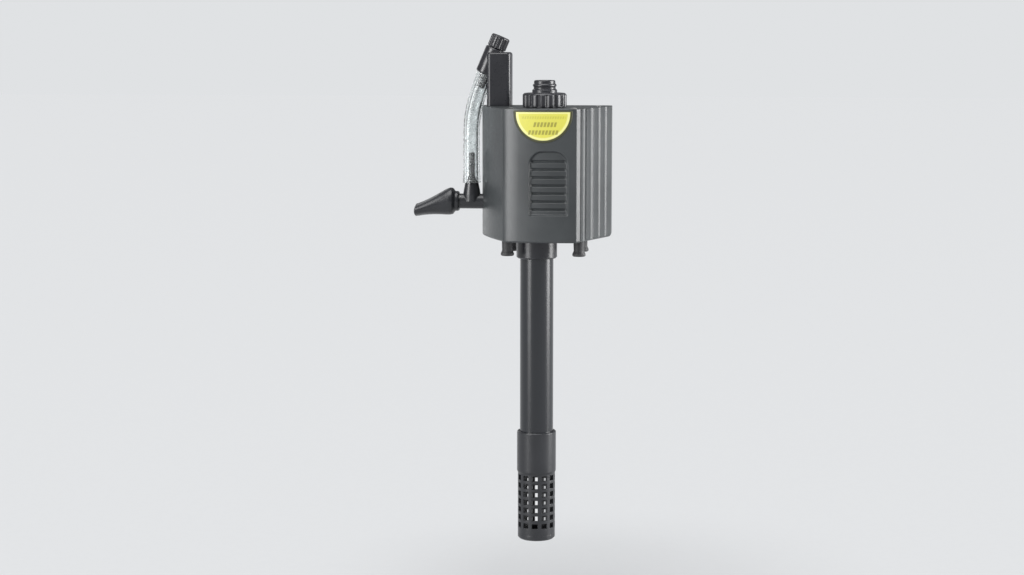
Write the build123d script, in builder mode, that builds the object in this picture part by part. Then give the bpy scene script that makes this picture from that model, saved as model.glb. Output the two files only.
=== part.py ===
from build123d import *
import os
from math import cos, radians, sin, tan

os.makedirs("parts", exist_ok=True)

# Submersible filter pump with a venturi outlet, a suction tube and a strainer. Millimetres.
# The glass it is stuck to is the plane y = 0, the front faces -Y, and z = 0 is half-way up the casing.

# Casing
CASE_WIDTH = 62.0
CASE_HEIGHT = 62.5
PANEL_WIDTH = 36.6
PANEL_CROWN = 1.8
BACK_Y = -14.0
SIDE_Y = -24.0
FRONT_Y = -52.2
WALL = 2.5
LID_THICKNESS = 3.0
LIP = 1.3
SLIDE_GAP = 0.3
SIDE_CORNER = 6.0
BACK_CORNER = 3.0
BOTTOM_CORNER = 1.5
FLANK_BULGE = (-25.6, -38.5)

# Rotor, volute and suction, all on one upright axis
AXIS_X = -4.0
AXIS_Y = -32.0
CHAMBER_RADIUS = 12.5
VOLUTE_RADIUS = 14.8
EAR_RADIUS = 16.6
TUBE_RADIUS = 8.0
TUBE_BORE = 6.5
TUBE_BOTTOM = -112.0
SHAFT_RADIUS = 1.25
RUNNING_GAP = 0.05

# Outlet
OUTLET_HEIGHT = 16.5
PIPE_RADIUS = 3.6
PIPE_BORE = 2.5
PIPE_END_X = -50.0
SOCKET_X = -36.3
NOZZLE_TIP_X = -63.5
NOZZLE_DROP = 4.5

# Airline
HOSE_RADIUS = 4.0
HOSE_BORE = 2.5
LEAN = 23.0

HALF = CASE_WIDTH / 2
PANEL_HALF = PANEL_WIDTH / 2
FLANK_X = PANEL_HALF + SLIDE_GAP
COVER_BACK_Y = FRONT_Y - 0.4
COVER_EDGE_Y = -55.0
OUTLET_Y = AXIS_Y + CHAMBER_RADIUS - 3.2


def up(height):
    """The z of a height above the casing's bottom edge."""
    return height - CASE_HEIGHT / 2


def level(height):
    """The horizontal plane at a height above the casing's bottom edge."""
    return Plane.XY.offset(up(height))


def upright(x, y):
    """An upright plane through an axis at x, y, seen from the front, with its own y along z."""
    return Plane(origin=(x, y, 0), x_dir=(1, 0, 0), z_dir=(0, -1, 0))


def across(x):
    """The plane at x that faces +X, with its own axes along y and z."""
    return Plane.YZ.offset(x)


# Plans that several pieces share

# The casing's plan without its front cover: the left flank bulges a little and the right one is straight.
with BuildSketch() as case_plan:
    with BuildLine():
        Polyline(
            (-FLANK_X, FRONT_Y), (FLANK_X, FRONT_Y), (HALF, SIDE_Y),
            (HALF, BACK_Y), (-HALF, BACK_Y), (-HALF, SIDE_Y),
        )
        ThreePointArc((-HALF, SIDE_Y), FLANK_BULGE, (-FLANK_X, FRONT_Y))
    make_face()
    fillet(case_plan.vertices().group_by(Axis.Y)[-1], radius=BACK_CORNER)
    fillet(case_plan.vertices().sort_by(Axis.X)[-1], radius=SIDE_CORNER)

# The space inside: narrow between the two front posts, wide behind them.
POST_X = 11.6
POST_Y = -45.0
SHOULDER_X = 19.2
CAVITY_X = 28.5
CAVITY_Y = -23.4
with BuildSketch() as cavity_plan:
    with BuildLine():
        Polyline(
            (-POST_X, FRONT_Y - 1), (POST_X, FRONT_Y - 1), (POST_X, POST_Y), (SHOULDER_X, POST_Y),
            (CAVITY_X, CAVITY_Y), (CAVITY_X, BACK_Y - WALL), (-CAVITY_X, BACK_Y - WALL),
            (-CAVITY_X, CAVITY_Y),
            (-SHOULDER_X, POST_Y), (-POST_X, POST_Y),
            close=True,
        )
    make_face()

# The lid lies inside the casing's lip and stops short of the two slots that the cover slides in.
LID_SETBACK = 4.1
LID_SIDE_GAP = 0.3
LID_FRONT_Y = FRONT_Y + 0.2
LID_FIT = 0.1
with BuildSketch() as lid_plan:
    add(case_plan.sketch)
    offset(amount=-LIP)
    with Locations((0, FRONT_Y)):
        Rectangle(2 * CASE_WIDTH, 2 * LID_SETBACK, mode=Mode.SUBTRACT)
    with Locations((0, (LID_FRONT_Y + AXIS_Y) / 2)):
        Rectangle(2 * (POST_X - LID_SIDE_GAP), AXIS_Y - LID_FRONT_Y)

# The motor's own case, inside the casing: the right half of its plan and its mirror image.
MOTOR_CORNERS = [(21.3, -16.9), (21.3, -36.0), (18.0, -44.2), (11.2, -44.2), (11.2, -50.0)]
with BuildSketch() as motor_plan:
    with BuildLine():
        Polyline(*MOTOR_CORNERS, *[(-x, y) for x, y in reversed(MOTOR_CORNERS)], close=True)
    make_face()

# Casing

LID_SCREWS = [(-14.4, -46.3), (14.4, -46.3), (24.6, -20.0)]
SCREW_PILOT = 1.0
PILOT_LENGTH = 8.0
BOSS_RADIUS = 3.2
BOSS_WEB = (5.5, 5.0)
FEET = [(x, y) for x in (-17, 17) for y in (-43, -21)]
FOOT_PLUG = 1.6
BRACKET_SCREWS = [(x, z) for x in (-22.5, 22.5) for z in (-19, 19)]
CUPS = [(x, z) for x in (-13.25, 13.25) for z in (-14.5, 14.5)]
FLANK_DIRECTION = Vector(HALF - FLANK_X, SIDE_Y - FRONT_Y).normalized()
FLANK_SIDE = Vector(SIDE_Y - FRONT_Y, FLANK_X - HALF).normalized()
# Each flute is a shallow arc: how far along the right flank its middle lies, its width and its depth.
FLUTES = [(3.4, 4.2, 0.9), (10.4, 4.8, 0.7), (17.6, 3.4, 0.35), (24.2, 3.4, 0.35)]
GLAND_Y = -36.0
COLLAR_RADIUS = 9.75
FLOOR_HOLE_GAP = 0.1
PIPE_HOLE_GAP = 0.2
# The cover's tongues and the slots they run in are T-shaped: a neck at the front and a wider head behind it.
TONGUE_X = 14.4
HEAD_Y = FRONT_Y + 2.9
TONGUE_NECK = 1.0
TONGUE_HEAD = (3.4, 1.4)
SLOT_NECK = 1.6
SLOT_NECK_DEPTH = 2.6
SLOT_HEAD = (4.0, 2.0)

with BuildPart() as rear_housing:
    with BuildSketch(level(0)):
        add(case_plan.sketch)
    extrude(amount=CASE_HEIGHT)
    fillet(rear_housing.faces().sort_by(Axis.Z)[0].edges(), radius=BOTTOM_CORNER)
    with BuildSketch(level(WALL)):
        add(cavity_plan.sketch)
    extrude(amount=CASE_HEIGHT, mode=Mode.SUBTRACT)
    # The boss for the lid's rear screw stands in the right rear corner.
    with BuildSketch(level(WALL)):
        with Locations(LID_SCREWS[2]):
            Circle(BOSS_RADIUS)
            Rectangle(*BOSS_WEB, align=(Align.MIN, Align.MIN))
    extrude(amount=CASE_HEIGHT - WALL - LID_THICKNESS)
    with BuildSketch(level(CASE_HEIGHT - LID_THICKNESS)):
        add(lid_plan.sketch)
        offset(amount=LID_FIT)
    extrude(amount=2 * LID_THICKNESS, mode=Mode.SUBTRACT)
    # A T-shaped slot in each front post takes the cover's tongue.
    with BuildSketch(level(WALL)):
        for side in (-1, 1):
            with Locations((side * TONGUE_X, FRONT_Y)):
                Rectangle(SLOT_NECK, 2 * SLOT_NECK_DEPTH)
            with Locations((side * TONGUE_X, HEAD_Y)):
                Rectangle(*SLOT_HEAD)
    extrude(amount=CASE_HEIGHT, mode=Mode.SUBTRACT)
    # Upright flutes on the right flank
    with BuildSketch(level(-1)):
        for along, width, depth in FLUTES:
            radius = (width**2 / 4 + depth**2) / (2 * depth)
            spot = Vector(FLANK_X, FRONT_Y) + FLANK_DIRECTION * along + FLANK_SIDE * (radius - depth)
            with Locations((spot.X, spot.Y)):
                Circle(radius)
    extrude(amount=CASE_HEIGHT + 2, mode=Mode.SUBTRACT)
    # Holes in the floor for the collar and the feet's plugs.
    with BuildSketch(level(-1)):
        with Locations((AXIS_X, AXIS_Y)):
            Circle(COLLAR_RADIUS + FLOOR_HOLE_GAP)
        with Locations(FEET):
            Circle(FOOT_PLUG)
    extrude(amount=WALL + 2, mode=Mode.SUBTRACT)
    # The hole in the left side for the outlet pipe.
    with BuildSketch(across(-HALF - 1)):
        with Locations((OUTLET_Y, up(OUTLET_HEIGHT))):
            Circle(PIPE_RADIUS + PIPE_HOLE_GAP)
    extrude(amount=WALL + 4, mode=Mode.SUBTRACT)
    # Pilot holes for the lid's and the bracket's screws.
    with BuildSketch(level(CASE_HEIGHT - LID_THICKNESS - PILOT_LENGTH)):
        with Locations(LID_SCREWS):
            Circle(SCREW_PILOT)
    extrude(amount=PILOT_LENGTH + 2, mode=Mode.SUBTRACT)
    with BuildSketch(Plane.XZ.offset(-BACK_Y)):
        with Locations(BRACKET_SCREWS):
            Circle(SCREW_PILOT)
    extrude(amount=WALL + 1, mode=Mode.SUBTRACT)
rear_housing.part.label = "rear_housing"
export_step(rear_housing.part, "parts/rear_housing.step")

# Front cover: a crowned panel with an arched thumb grip, and two T-shaped tongues for the posts' slots


FRONT_LIMIT_Y = -60.0
CUT_LENGTH = 10.0


def panel_skin(depth):
    """The plan of all that lies in front of the panel's crowned face moved back by a depth."""
    with BuildSketch() as skin:
        with BuildLine():
            ThreePointArc(
                (-PANEL_HALF, COVER_EDGE_Y + depth),
                (0, COVER_EDGE_Y - PANEL_CROWN + depth),
                (PANEL_HALF, COVER_EDGE_Y + depth),
            )
            Polyline(
                (PANEL_HALF, COVER_EDGE_Y + depth), (PANEL_HALF, FRONT_LIMIT_Y),
                (-PANEL_HALF, FRONT_LIMIT_Y), (-PANEL_HALF, COVER_EDGE_Y + depth),
            )
        make_face()
    return skin.sketch


LEFT_ROLL = 2.1
RIGHT_FACET = 1.9
BOTTOM_ROLL = 0.8
GRIP_X = 3.5
GRIP_WIDTH = 18.3
GRIP_BOTTOM = 12.5
GRIP_TOP = 43.1
GRIP_DEPTH = 1.3
GRIP_HEAD_ROUND = 6.5
GRIP_FOOT_ROUND = 1.0
RIDGE_FIRST = 3.0
RIDGE_PITCH = 3.76
RIDGE_COUNT = 7
GROOVE_LENGTH = 16.6
GROOVE_WIDTH = 1.7
GROOVE_DEPTH = 0.8
FRONT_LIMIT = Plane.XZ.offset(-FRONT_LIMIT_Y)
LABEL_THICKNESS = 0.3
grip_skin = panel_skin(GRIP_DEPTH)
groove_skin = panel_skin(GRIP_DEPTH + GROOVE_DEPTH)
label_skin = panel_skin(-LABEL_THICKNESS)
face_skin = panel_skin(0)

with BuildPart() as grip_recess:
    with BuildSketch(FRONT_LIMIT) as arch:
        with Locations((GRIP_X, up((GRIP_BOTTOM + GRIP_TOP) / 2))):
            Rectangle(GRIP_WIDTH, GRIP_TOP - GRIP_BOTTOM)
        fillet(arch.vertices().group_by(Axis.Y)[-1], radius=GRIP_HEAD_ROUND)
        fillet(arch.vertices().group_by(Axis.Y)[0], radius=GRIP_FOOT_ROUND)
    extrude(amount=-CUT_LENGTH)
    with BuildSketch(level(0)):
        add(grip_skin)
    extrude(amount=CASE_HEIGHT, mode=Mode.INTERSECT)

with BuildPart() as grip_grooves:
    with BuildSketch(FRONT_LIMIT):
        for row in range(RIDGE_COUNT):
            with Locations((GRIP_X, up(GRIP_BOTTOM + RIDGE_FIRST + RIDGE_PITCH * row))):
                SlotOverall(GROOVE_LENGTH, GROOVE_WIDTH)
    extrude(amount=-CUT_LENGTH)
    with BuildSketch(level(0)):
        add(groove_skin)
    extrude(amount=CASE_HEIGHT, mode=Mode.INTERSECT)

with BuildPart() as front_cover:
    with BuildSketch(level(0)):
        with BuildLine():
            ThreePointArc(
                (-PANEL_HALF, COVER_EDGE_Y), (0, COVER_EDGE_Y - PANEL_CROWN), (PANEL_HALF, COVER_EDGE_Y)
            )
            Polyline(
                (PANEL_HALF, COVER_EDGE_Y), (PANEL_HALF, COVER_BACK_Y), (-PANEL_HALF, COVER_BACK_Y),
                (-PANEL_HALF, COVER_EDGE_Y),
            )
        make_face()
    extrude(amount=CASE_HEIGHT)
    creases = front_cover.edges().filter_by(Axis.Z).group_by(Axis.Y)[0].sort_by(Axis.X)
    fillet(creases[0], radius=LEFT_ROLL)
    chamfer(creases[-1], length=RIGHT_FACET)
    bottom_rim = front_cover.faces().sort_by(Axis.Z)[0].edges().filter_by(Axis.X, reverse=True)
    fillet(bottom_rim.sort_by(Axis.Y)[0], radius=BOTTOM_ROLL)
    with BuildSketch(level(WALL + SLIDE_GAP)):
        for side in (-1, 1):
            with Locations((side * TONGUE_X, COVER_BACK_Y - 0.5)):
                Rectangle(TONGUE_NECK, HEAD_Y - COVER_BACK_Y, align=(Align.CENTER, Align.MIN))
            with Locations((side * TONGUE_X, HEAD_Y)):
                Rectangle(*TONGUE_HEAD)
    extrude(amount=CASE_HEIGHT - WALL - SLIDE_GAP)
    add(grip_recess.part, mode=Mode.SUBTRACT)
    add(grip_grooves.part, mode=Mode.SUBTRACT)
front_cover.part.label = "front_cover"
export_step(front_cover.part, "parts/front_cover.step")

LABEL_X = 1.0
LABEL_RADIUS = 13.8
LABEL_TOP = 61.8
LABEL_BAND = 1.2

with BuildPart() as front_label:
    with BuildSketch(FRONT_LIMIT):
        with Locations((LABEL_X, up(LABEL_TOP - LABEL_BAND))):
            Circle(LABEL_RADIUS)
            Rectangle(2 * LABEL_RADIUS, LABEL_BAND, align=(Align.CENTER, Align.MIN))
        with Locations((LABEL_X, up(LABEL_TOP))):
            Rectangle(4 * LABEL_RADIUS, 2 * LABEL_RADIUS, align=(Align.CENTER, Align.MIN), mode=Mode.SUBTRACT)
    extrude(amount=-CUT_LENGTH)
    with BuildSketch(level(0)):
        add(face_skin)
    extrude(amount=CASE_HEIGHT, mode=Mode.INTERSECT)
    with BuildSketch(level(0)):
        add(label_skin)
    extrude(amount=CASE_HEIGHT, mode=Mode.SUBTRACT)
front_label.part.label = "front_label"
export_step(front_label.part, "parts/front_label.step")

# Lid, its screws and the cord gland

GLAND_STEM = 7.0
GLAND_BORE = 3.6
SEAL_RADIUS = 5.2
CORD_RADIUS = 3.1
PEG = (-22.0, -23.0)
PEG_RADIUS = 2.0
CLEARANCE_RADIUS = 1.2
SINK_RADIUS = 1.8
# A screw's head radius, head height and whole length
LID_SCREW = (1.7, 0.7, 9.5)
CROSS_WIDTH = 0.6
CROSS_DEPTH = 0.5

with BuildPart() as top_lid:
    with BuildSketch(level(CASE_HEIGHT - LID_THICKNESS)):
        add(lid_plan.sketch)
        with Locations((0, GLAND_Y)):
            Circle(GLAND_STEM, mode=Mode.SUBTRACT)
        with Locations(PEG):
            Circle(PEG_RADIUS, mode=Mode.SUBTRACT)
    extrude(amount=LID_THICKNESS)
    with Locations([(x, y, up(CASE_HEIGHT)) for x, y in LID_SCREWS]):
        CounterSinkHole(radius=CLEARANCE_RADIUS, counter_sink_radius=SINK_RADIUS, depth=LID_THICKNESS)
top_lid.part.label = "top_lid"
export_step(top_lid.part, "parts/top_lid.step")


def screw(place, shank_radius, head_radius, head_height, length):
    """A countersunk screw whose flat top lies on a plane, with its shank along the plane's inward normal."""
    with BuildPart(place) as one:
        Cylinder(shank_radius, length, align=(Align.CENTER, Align.CENTER, Align.MAX))
        with Locations((0, 0, -head_height / 2)):
            Cone(shank_radius, head_radius, head_height)
        with Locations((0, 0, 0)):
            Box(1.5 * head_radius, CROSS_WIDTH, 2 * CROSS_DEPTH, mode=Mode.SUBTRACT)
            Box(CROSS_WIDTH, 1.5 * head_radius, 2 * CROSS_DEPTH, mode=Mode.SUBTRACT)
    return one.part


lid_screw_shapes = [screw(Plane((x, y, up(CASE_HEIGHT))), SCREW_PILOT, *LID_SCREW) for x, y in LID_SCREWS]
with BuildPart() as lid_screws:
    add(lid_screw_shapes)
lid_screws.part.label = "lid_screws"
export_step(lid_screws.part, "parts/lid_screws.step")

GLAND_FOOT = 57.3
GLAND_FLANGE = 9.0
GLAND_TOP = 66.0
SEAL_SEAT = 60.5

with BuildPart() as gland_body:
    with BuildSketch(level(GLAND_FOOT)):
        with Locations((0, GLAND_Y)):
            Circle(GLAND_FLANGE)
    extrude(amount=CASE_HEIGHT - LID_THICKNESS - GLAND_FOOT)
    with BuildSketch(level(CASE_HEIGHT - LID_THICKNESS)):
        with Locations((0, GLAND_Y)):
            Circle(GLAND_STEM)
    extrude(amount=GLAND_TOP - CASE_HEIGHT + LID_THICKNESS)
    with BuildSketch(level(GLAND_FOOT)):
        with Locations((0, GLAND_Y)):
            Circle(GLAND_BORE)
    extrude(amount=GLAND_TOP - GLAND_FOOT, mode=Mode.SUBTRACT)
    with BuildSketch(level(SEAL_SEAT)):
        with Locations((0, GLAND_Y)):
            Circle(SEAL_RADIUS)
    extrude(amount=GLAND_TOP - SEAL_SEAT, mode=Mode.SUBTRACT)
gland_body.part.label = "gland_body"
export_step(gland_body.part, "parts/gland_body.step")

with BuildPart() as gland_seal:
    with BuildSketch(level(SEAL_SEAT)):
        with Locations((0, GLAND_Y)):
            Circle(SEAL_RADIUS)
            Circle(CORD_RADIUS, mode=Mode.SUBTRACT)
    extrude(amount=GLAND_TOP - SEAL_SEAT)
gland_seal.part.label = "gland_seal"
export_step(gland_seal.part, "parts/gland_seal.step")

NUT_RADIUS = 10.4
NUT_HEIGHT = 6.7
NUT_CHAMFER = 0.8
NUT_FOOT_CHAMFER = 0.5
NUT_GAP = 0.05
NUT_ROOF = GLAND_TOP + 0.1
NUT_FLUTES = 16
NUT_FLUTE_RADIUS = 1.0
NECK_RADIUS = 5.2
NECK_HEIGHT = 6.0
NECK_BORE = GLAND_BORE + 0.1
NECK_DRAFT = 0.2
NUT_TOP = CASE_HEIGHT + NUT_HEIGHT

with BuildPart() as gland_nut:
    with BuildSketch(upright(0, GLAND_Y)):
        with BuildLine():
            Polyline(
                (GLAND_STEM + NUT_GAP, up(CASE_HEIGHT)), (NUT_RADIUS - NUT_FOOT_CHAMFER, up(CASE_HEIGHT)),
                (NUT_RADIUS, up(CASE_HEIGHT + NUT_FOOT_CHAMFER)), (NUT_RADIUS, up(NUT_TOP - NUT_CHAMFER)),
                (NUT_RADIUS - NUT_CHAMFER, up(NUT_TOP)), (NECK_RADIUS, up(NUT_TOP)),
                (NECK_RADIUS - NECK_DRAFT, up(NUT_TOP + NECK_HEIGHT)), (NECK_BORE, up(NUT_TOP + NECK_HEIGHT)),
                (NECK_BORE, up(NUT_ROOF)), (GLAND_STEM + NUT_GAP, up(NUT_ROOF)),
                close=True,
            )
        make_face()
    revolve(axis=Axis((0, GLAND_Y, 0), (0, 0, 1)))
    with BuildSketch(level(CASE_HEIGHT)):
        with Locations((0, GLAND_Y)):
            with PolarLocations(NUT_RADIUS + NUT_FLUTE_RADIUS / 2, NUT_FLUTES):
                Circle(NUT_FLUTE_RADIUS)
    extrude(amount=NUT_HEIGHT, mode=Mode.SUBTRACT)
gland_nut.part.label = "gland_nut"
export_step(gland_nut.part, "parts/gland_nut.step")

# Motor: a canned rotor well, a laminated core with two coils, and the case that resin fills

CORE_BOTTOM = 30.0
CORE_HEIGHT = 20.0
LEGS = {"front": (-42.5, -38.5), "rear": (-25.5, -21.5)}
COIL_X = (2.8, 9.7)
FLANGE = 0.8
CAN_RADIUS = 7.9
MOTOR_BOTTOM = 25.0
MOTOR_TOP = 56.8
MOTOR_WALL = 1.4
WELL_RADIUS = 6.7
WELL_TOP = 52.0
CAN_FOOT = 23.0
CAN_TOP = 56.5
CAN_FLANGE = 11.5
BUSH_SEAT_RADIUS = 3.0
BUSH_SEAT_TOP = 55.0
RESIN_TOP = 55.8
CORE_X = (-13.0, 16.5)
POLE_RADIUS = 8.1
POLE_GAP = 3.0
WINDOW_GAP = 1.0
SLEEVE_WALL = 0.75
SLEEVE_GAP = 0.05
COLLAR_GROWTH = 2.4
WINDING_GROWTH = 2.2
WINDING_HOLE = 0.8
WINDING_ROUND = 0.5

with BuildPart() as motor_case:
    with BuildSketch(level(MOTOR_BOTTOM)):
        add(motor_plan.sketch)
    extrude(amount=MOTOR_TOP - MOTOR_BOTTOM)
    with BuildSketch(level(MOTOR_BOTTOM + MOTOR_WALL)):
        add(motor_plan.sketch)
        offset(amount=-MOTOR_WALL)
    extrude(amount=MOTOR_TOP - MOTOR_BOTTOM, mode=Mode.SUBTRACT)
    with BuildSketch(level(MOTOR_BOTTOM - 1)):
        with Locations((AXIS_X, AXIS_Y)):
            Circle(CAN_RADIUS)
    extrude(amount=MOTOR_WALL + 2, mode=Mode.SUBTRACT)
motor_case.part.label = "motor_case"
export_step(motor_case.part, "parts/motor_case.step")

with BuildPart() as motor_can:
    with BuildSketch(upright(AXIS_X, AXIS_Y)):
        with BuildLine():
            Polyline(
                (WELL_RADIUS, up(CAN_FOOT)), (CAN_FLANGE, up(CAN_FOOT)), (CAN_FLANGE, up(MOTOR_BOTTOM)),
                (CAN_RADIUS, up(MOTOR_BOTTOM)), (CAN_RADIUS, up(CAN_TOP - 0.8)),
                (CAN_RADIUS - 0.8, up(CAN_TOP)), (0, up(CAN_TOP)),
                (0, up(BUSH_SEAT_TOP)), (BUSH_SEAT_RADIUS, up(BUSH_SEAT_TOP)),
                (BUSH_SEAT_RADIUS, up(WELL_TOP)), (WELL_RADIUS, up(WELL_TOP)),
                close=True,
            )
        make_face()
    revolve(axis=Axis((AXIS_X, AXIS_Y, 0), (0, 0, 1)))
motor_can.part.label = "motor_can"
export_step(motor_can.part, "parts/motor_can.step")

with BuildPart() as stator_core:
    with BuildSketch(level(CORE_BOTTOM)):
        with BuildLine():
            Polyline(
                (CORE_X[0], LEGS["front"][0]), (CORE_X[1], LEGS["front"][0]),
                (CORE_X[1], LEGS["rear"][1]), (CORE_X[0], LEGS["rear"][1]),
                close=True,
            )
        make_face()
        with Locations((0, AXIS_Y)):
            Rectangle(
                COIL_X[1] + WINDOW_GAP, LEGS["rear"][0] - LEGS["front"][1],
                align=(Align.MIN, Align.CENTER), mode=Mode.SUBTRACT,
            )
        with Locations((AXIS_X, AXIS_Y)):
            Circle(POLE_RADIUS, mode=Mode.SUBTRACT)
            Rectangle(2 * POLE_RADIUS, POLE_GAP, align=(Align.MAX, Align.CENTER), mode=Mode.SUBTRACT)
    extrude(amount=CORE_HEIGHT)
stator_core.part.label = "stator_core"
export_step(stator_core.part, "parts/stator_core.step")


def frame_round(leg, grow, hole):
    """A rectangular ring round a leg of the core, as a sketch on the plane across x = 0."""
    middle = (leg[0] + leg[1]) / 2
    with BuildSketch() as ring:
        with Locations((middle, up(CORE_BOTTOM + CORE_HEIGHT / 2))):
            Rectangle(leg[1] - leg[0] + 2 * grow, CORE_HEIGHT + 2 * grow)
            Rectangle(leg[1] - leg[0] + 2 * hole, CORE_HEIGHT + 2 * hole, mode=Mode.SUBTRACT)
    return ring.sketch


coil_parts = []
for side, leg in LEGS.items():
    sleeve = frame_round(leg, SLEEVE_WALL, SLEEVE_GAP)
    collar = frame_round(leg, COLLAR_GROWTH, SLEEVE_GAP)
    turns = frame_round(leg, WINDING_GROWTH, WINDING_HOLE)
    with BuildPart() as bobbin:
        with BuildSketch(across(COIL_X[0])):
            add(sleeve)
        extrude(amount=COIL_X[1] - COIL_X[0])
        for start in (COIL_X[0], COIL_X[1] - FLANGE):
            with BuildSketch(across(start)):
                add(collar)
            extrude(amount=FLANGE)
    bobbin.part.label = f"coil_bobbin_{side}"
    export_step(bobbin.part, f"parts/coil_bobbin_{side}.step")
    with BuildPart() as winding:
        with BuildSketch(across(COIL_X[0] + FLANGE)):
            add(turns)
        extrude(amount=COIL_X[1] - COIL_X[0] - 2 * FLANGE)
        corner_edges = winding.edges().filter_by(Axis.X).group_by(SortBy.LENGTH)[0]
        fillet(corner_edges.sort_by(Axis.Z)[-2:], radius=WINDING_ROUND)
    winding.part.label = f"winding_{side}"
    export_step(winding.part, f"parts/winding_{side}.step")
    coil_parts += [bobbin.part, winding.part]

with BuildPart() as potting:
    with BuildSketch(level(MOTOR_BOTTOM + MOTOR_WALL)):
        add(motor_plan.sketch)
        offset(amount=-MOTOR_WALL - 0.05)
        with Locations((AXIS_X, AXIS_Y)):
            Circle(CAN_RADIUS + 0.02, mode=Mode.SUBTRACT)
    extrude(amount=RESIN_TOP - MOTOR_BOTTOM - MOTOR_WALL)
    for piece in [stator_core.part, *coil_parts]:
        add(piece, mode=Mode.SUBTRACT)
resin = potting.part.solids().sort_by(SortBy.VOLUME)[-1]
resin.label = "potting"
export_step(resin, "parts/potting.step")

# Rotor

IMPELLER_RADIUS = 11.0
BLADES = 6
BLADE_THICKNESS = 1.4
BLADE_TURN = 8.0
BLADE_LENGTH = 8.0
BLADE_MIDDLE = 6.9
BLADE_BOTTOM = 9.6
IMPELLER_BOTTOM = 9.2
DISC_BOTTOM = 18.5
DISC_THICKNESS = 1.3
IMPELLER_HUB = 3.6
MAGNET_RADIUS = 6.0
MAGNET_BOTTOM = 21.0
MAGNET_LENGTH = 30.0
MAGNET_CHAMFER = 0.6
SHAFT_BOTTOM = 6.2
SHAFT_LENGTH = 48.0
# Each bush's bottom, top and radius, and where the shaft's hole in it starts and ends
BUSHES = {
    "lower_bush": (4.8, 8.3, 2.2, (6.2, 8.3)),
    "upper_bush": (WELL_TOP, BUSH_SEAT_TOP, BUSH_SEAT_RADIUS, (WELL_TOP, 54.2)),
}

with BuildPart() as ceramic_shaft:
    with BuildSketch(level(SHAFT_BOTTOM)):
        with Locations((AXIS_X, AXIS_Y)):
            Circle(SHAFT_RADIUS)
    extrude(amount=SHAFT_LENGTH)
    chamfer(ceramic_shaft.edges().filter_by(GeomType.CIRCLE), length=0.2)
ceramic_shaft.part.label = "ceramic_shaft"
export_step(ceramic_shaft.part, "parts/ceramic_shaft.step")

for name, (bottom, top, radius, mouth) in BUSHES.items():
    with BuildPart() as bush:
        with BuildSketch(level(bottom)):
            with Locations((AXIS_X, AXIS_Y)):
                Circle(radius)
        extrude(amount=top - bottom)
        with BuildSketch(level(mouth[0])):
            with Locations((AXIS_X, AXIS_Y)):
                Circle(SHAFT_RADIUS)
        extrude(amount=mouth[1] - mouth[0], mode=Mode.SUBTRACT)
    bush.part.label = name
    export_step(bush.part, f"parts/{name}.step")

with BuildPart() as rotor_magnet:
    with BuildSketch(level(MAGNET_BOTTOM)):
        with Locations((AXIS_X, AXIS_Y)):
            Circle(MAGNET_RADIUS)
            Circle(SHAFT_RADIUS + RUNNING_GAP, mode=Mode.SUBTRACT)
    extrude(amount=MAGNET_LENGTH)
    outer_rims = rotor_magnet.edges().group_by(SortBy.LENGTH)[-1].filter_by(GeomType.CIRCLE)
    chamfer(outer_rims, length=MAGNET_CHAMFER)
rotor_magnet.part.label = "rotor_magnet"
export_step(rotor_magnet.part, "parts/rotor_magnet.step")

with BuildPart() as impeller:
    with BuildSketch(level(IMPELLER_BOTTOM)):
        with Locations((AXIS_X, AXIS_Y)):
            Circle(IMPELLER_HUB)
    extrude(amount=MAGNET_BOTTOM - IMPELLER_BOTTOM)
    with BuildSketch(level(DISC_BOTTOM)):
        with Locations((AXIS_X, AXIS_Y)):
            Circle(IMPELLER_RADIUS)
    extrude(amount=DISC_THICKNESS)
    with BuildSketch(level(BLADE_BOTTOM)):
        with Locations((AXIS_X, AXIS_Y)):
            with PolarLocations(0, BLADES):
                with Locations((BLADE_MIDDLE, 0)):
                    Rectangle(BLADE_LENGTH, BLADE_THICKNESS, rotation=BLADE_TURN)
    extrude(amount=DISC_BOTTOM + 0.2 - BLADE_BOTTOM)
    with BuildSketch(level(IMPELLER_BOTTOM - 1)):
        with Locations((AXIS_X, AXIS_Y)):
            Circle(SHAFT_RADIUS + RUNNING_GAP)
    extrude(amount=MAGNET_BOTTOM - IMPELLER_BOTTOM + 2, mode=Mode.SUBTRACT)
impeller.part.label = "impeller"
export_step(impeller.part, "parts/impeller.step")

WASHER_RADIUS = 2.6
WASHER_THICKNESS = 0.6

with BuildPart() as thrust_washer:
    with BuildSketch(level(IMPELLER_BOTTOM - WASHER_THICKNESS)):
        with Locations((AXIS_X, AXIS_Y)):
            Circle(WASHER_RADIUS)
            Circle(SHAFT_RADIUS + RUNNING_GAP, mode=Mode.SUBTRACT)
    extrude(amount=WASHER_THICKNESS)
thrust_washer.part.label = "thrust_washer"
export_step(thrust_washer.part, "parts/thrust_washer.step")

# Volute: a chamber round the impeller with a tangent duct to the left, closed below by a cover with the eye

EAR_ANGLES = (20, 180, 285)
EARS = [(AXIS_X + EAR_RADIUS * cos(radians(a)), AXIS_Y + EAR_RADIUS * sin(radians(a))) for a in EAR_ANGLES]
EAR_SIZE = 2.7
EAR_HEIGHT = 6.5
EAR_HOLE = 1.3
EAR_PILOT = 5.0
EYE_RADIUS = 6.5
HUB_RADIUS = 3.2
GROOVE_INNER = 13.0
GROOVE_OUTER = 14.2
SEAL_DEPTH = 1.1
VOLUTE_BOTTOM = 7.5
CHAMBER_TOP = 20.5
VOLUTE_TOP = 23.0
MOUTH_RADIUS = 6.9
DUCT_RADIUS = 5.2
DUCT_BORE = PIPE_BORE + 0.4
DUCT_END_X = -26.2
PIPE_START_X = -22.5

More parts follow.
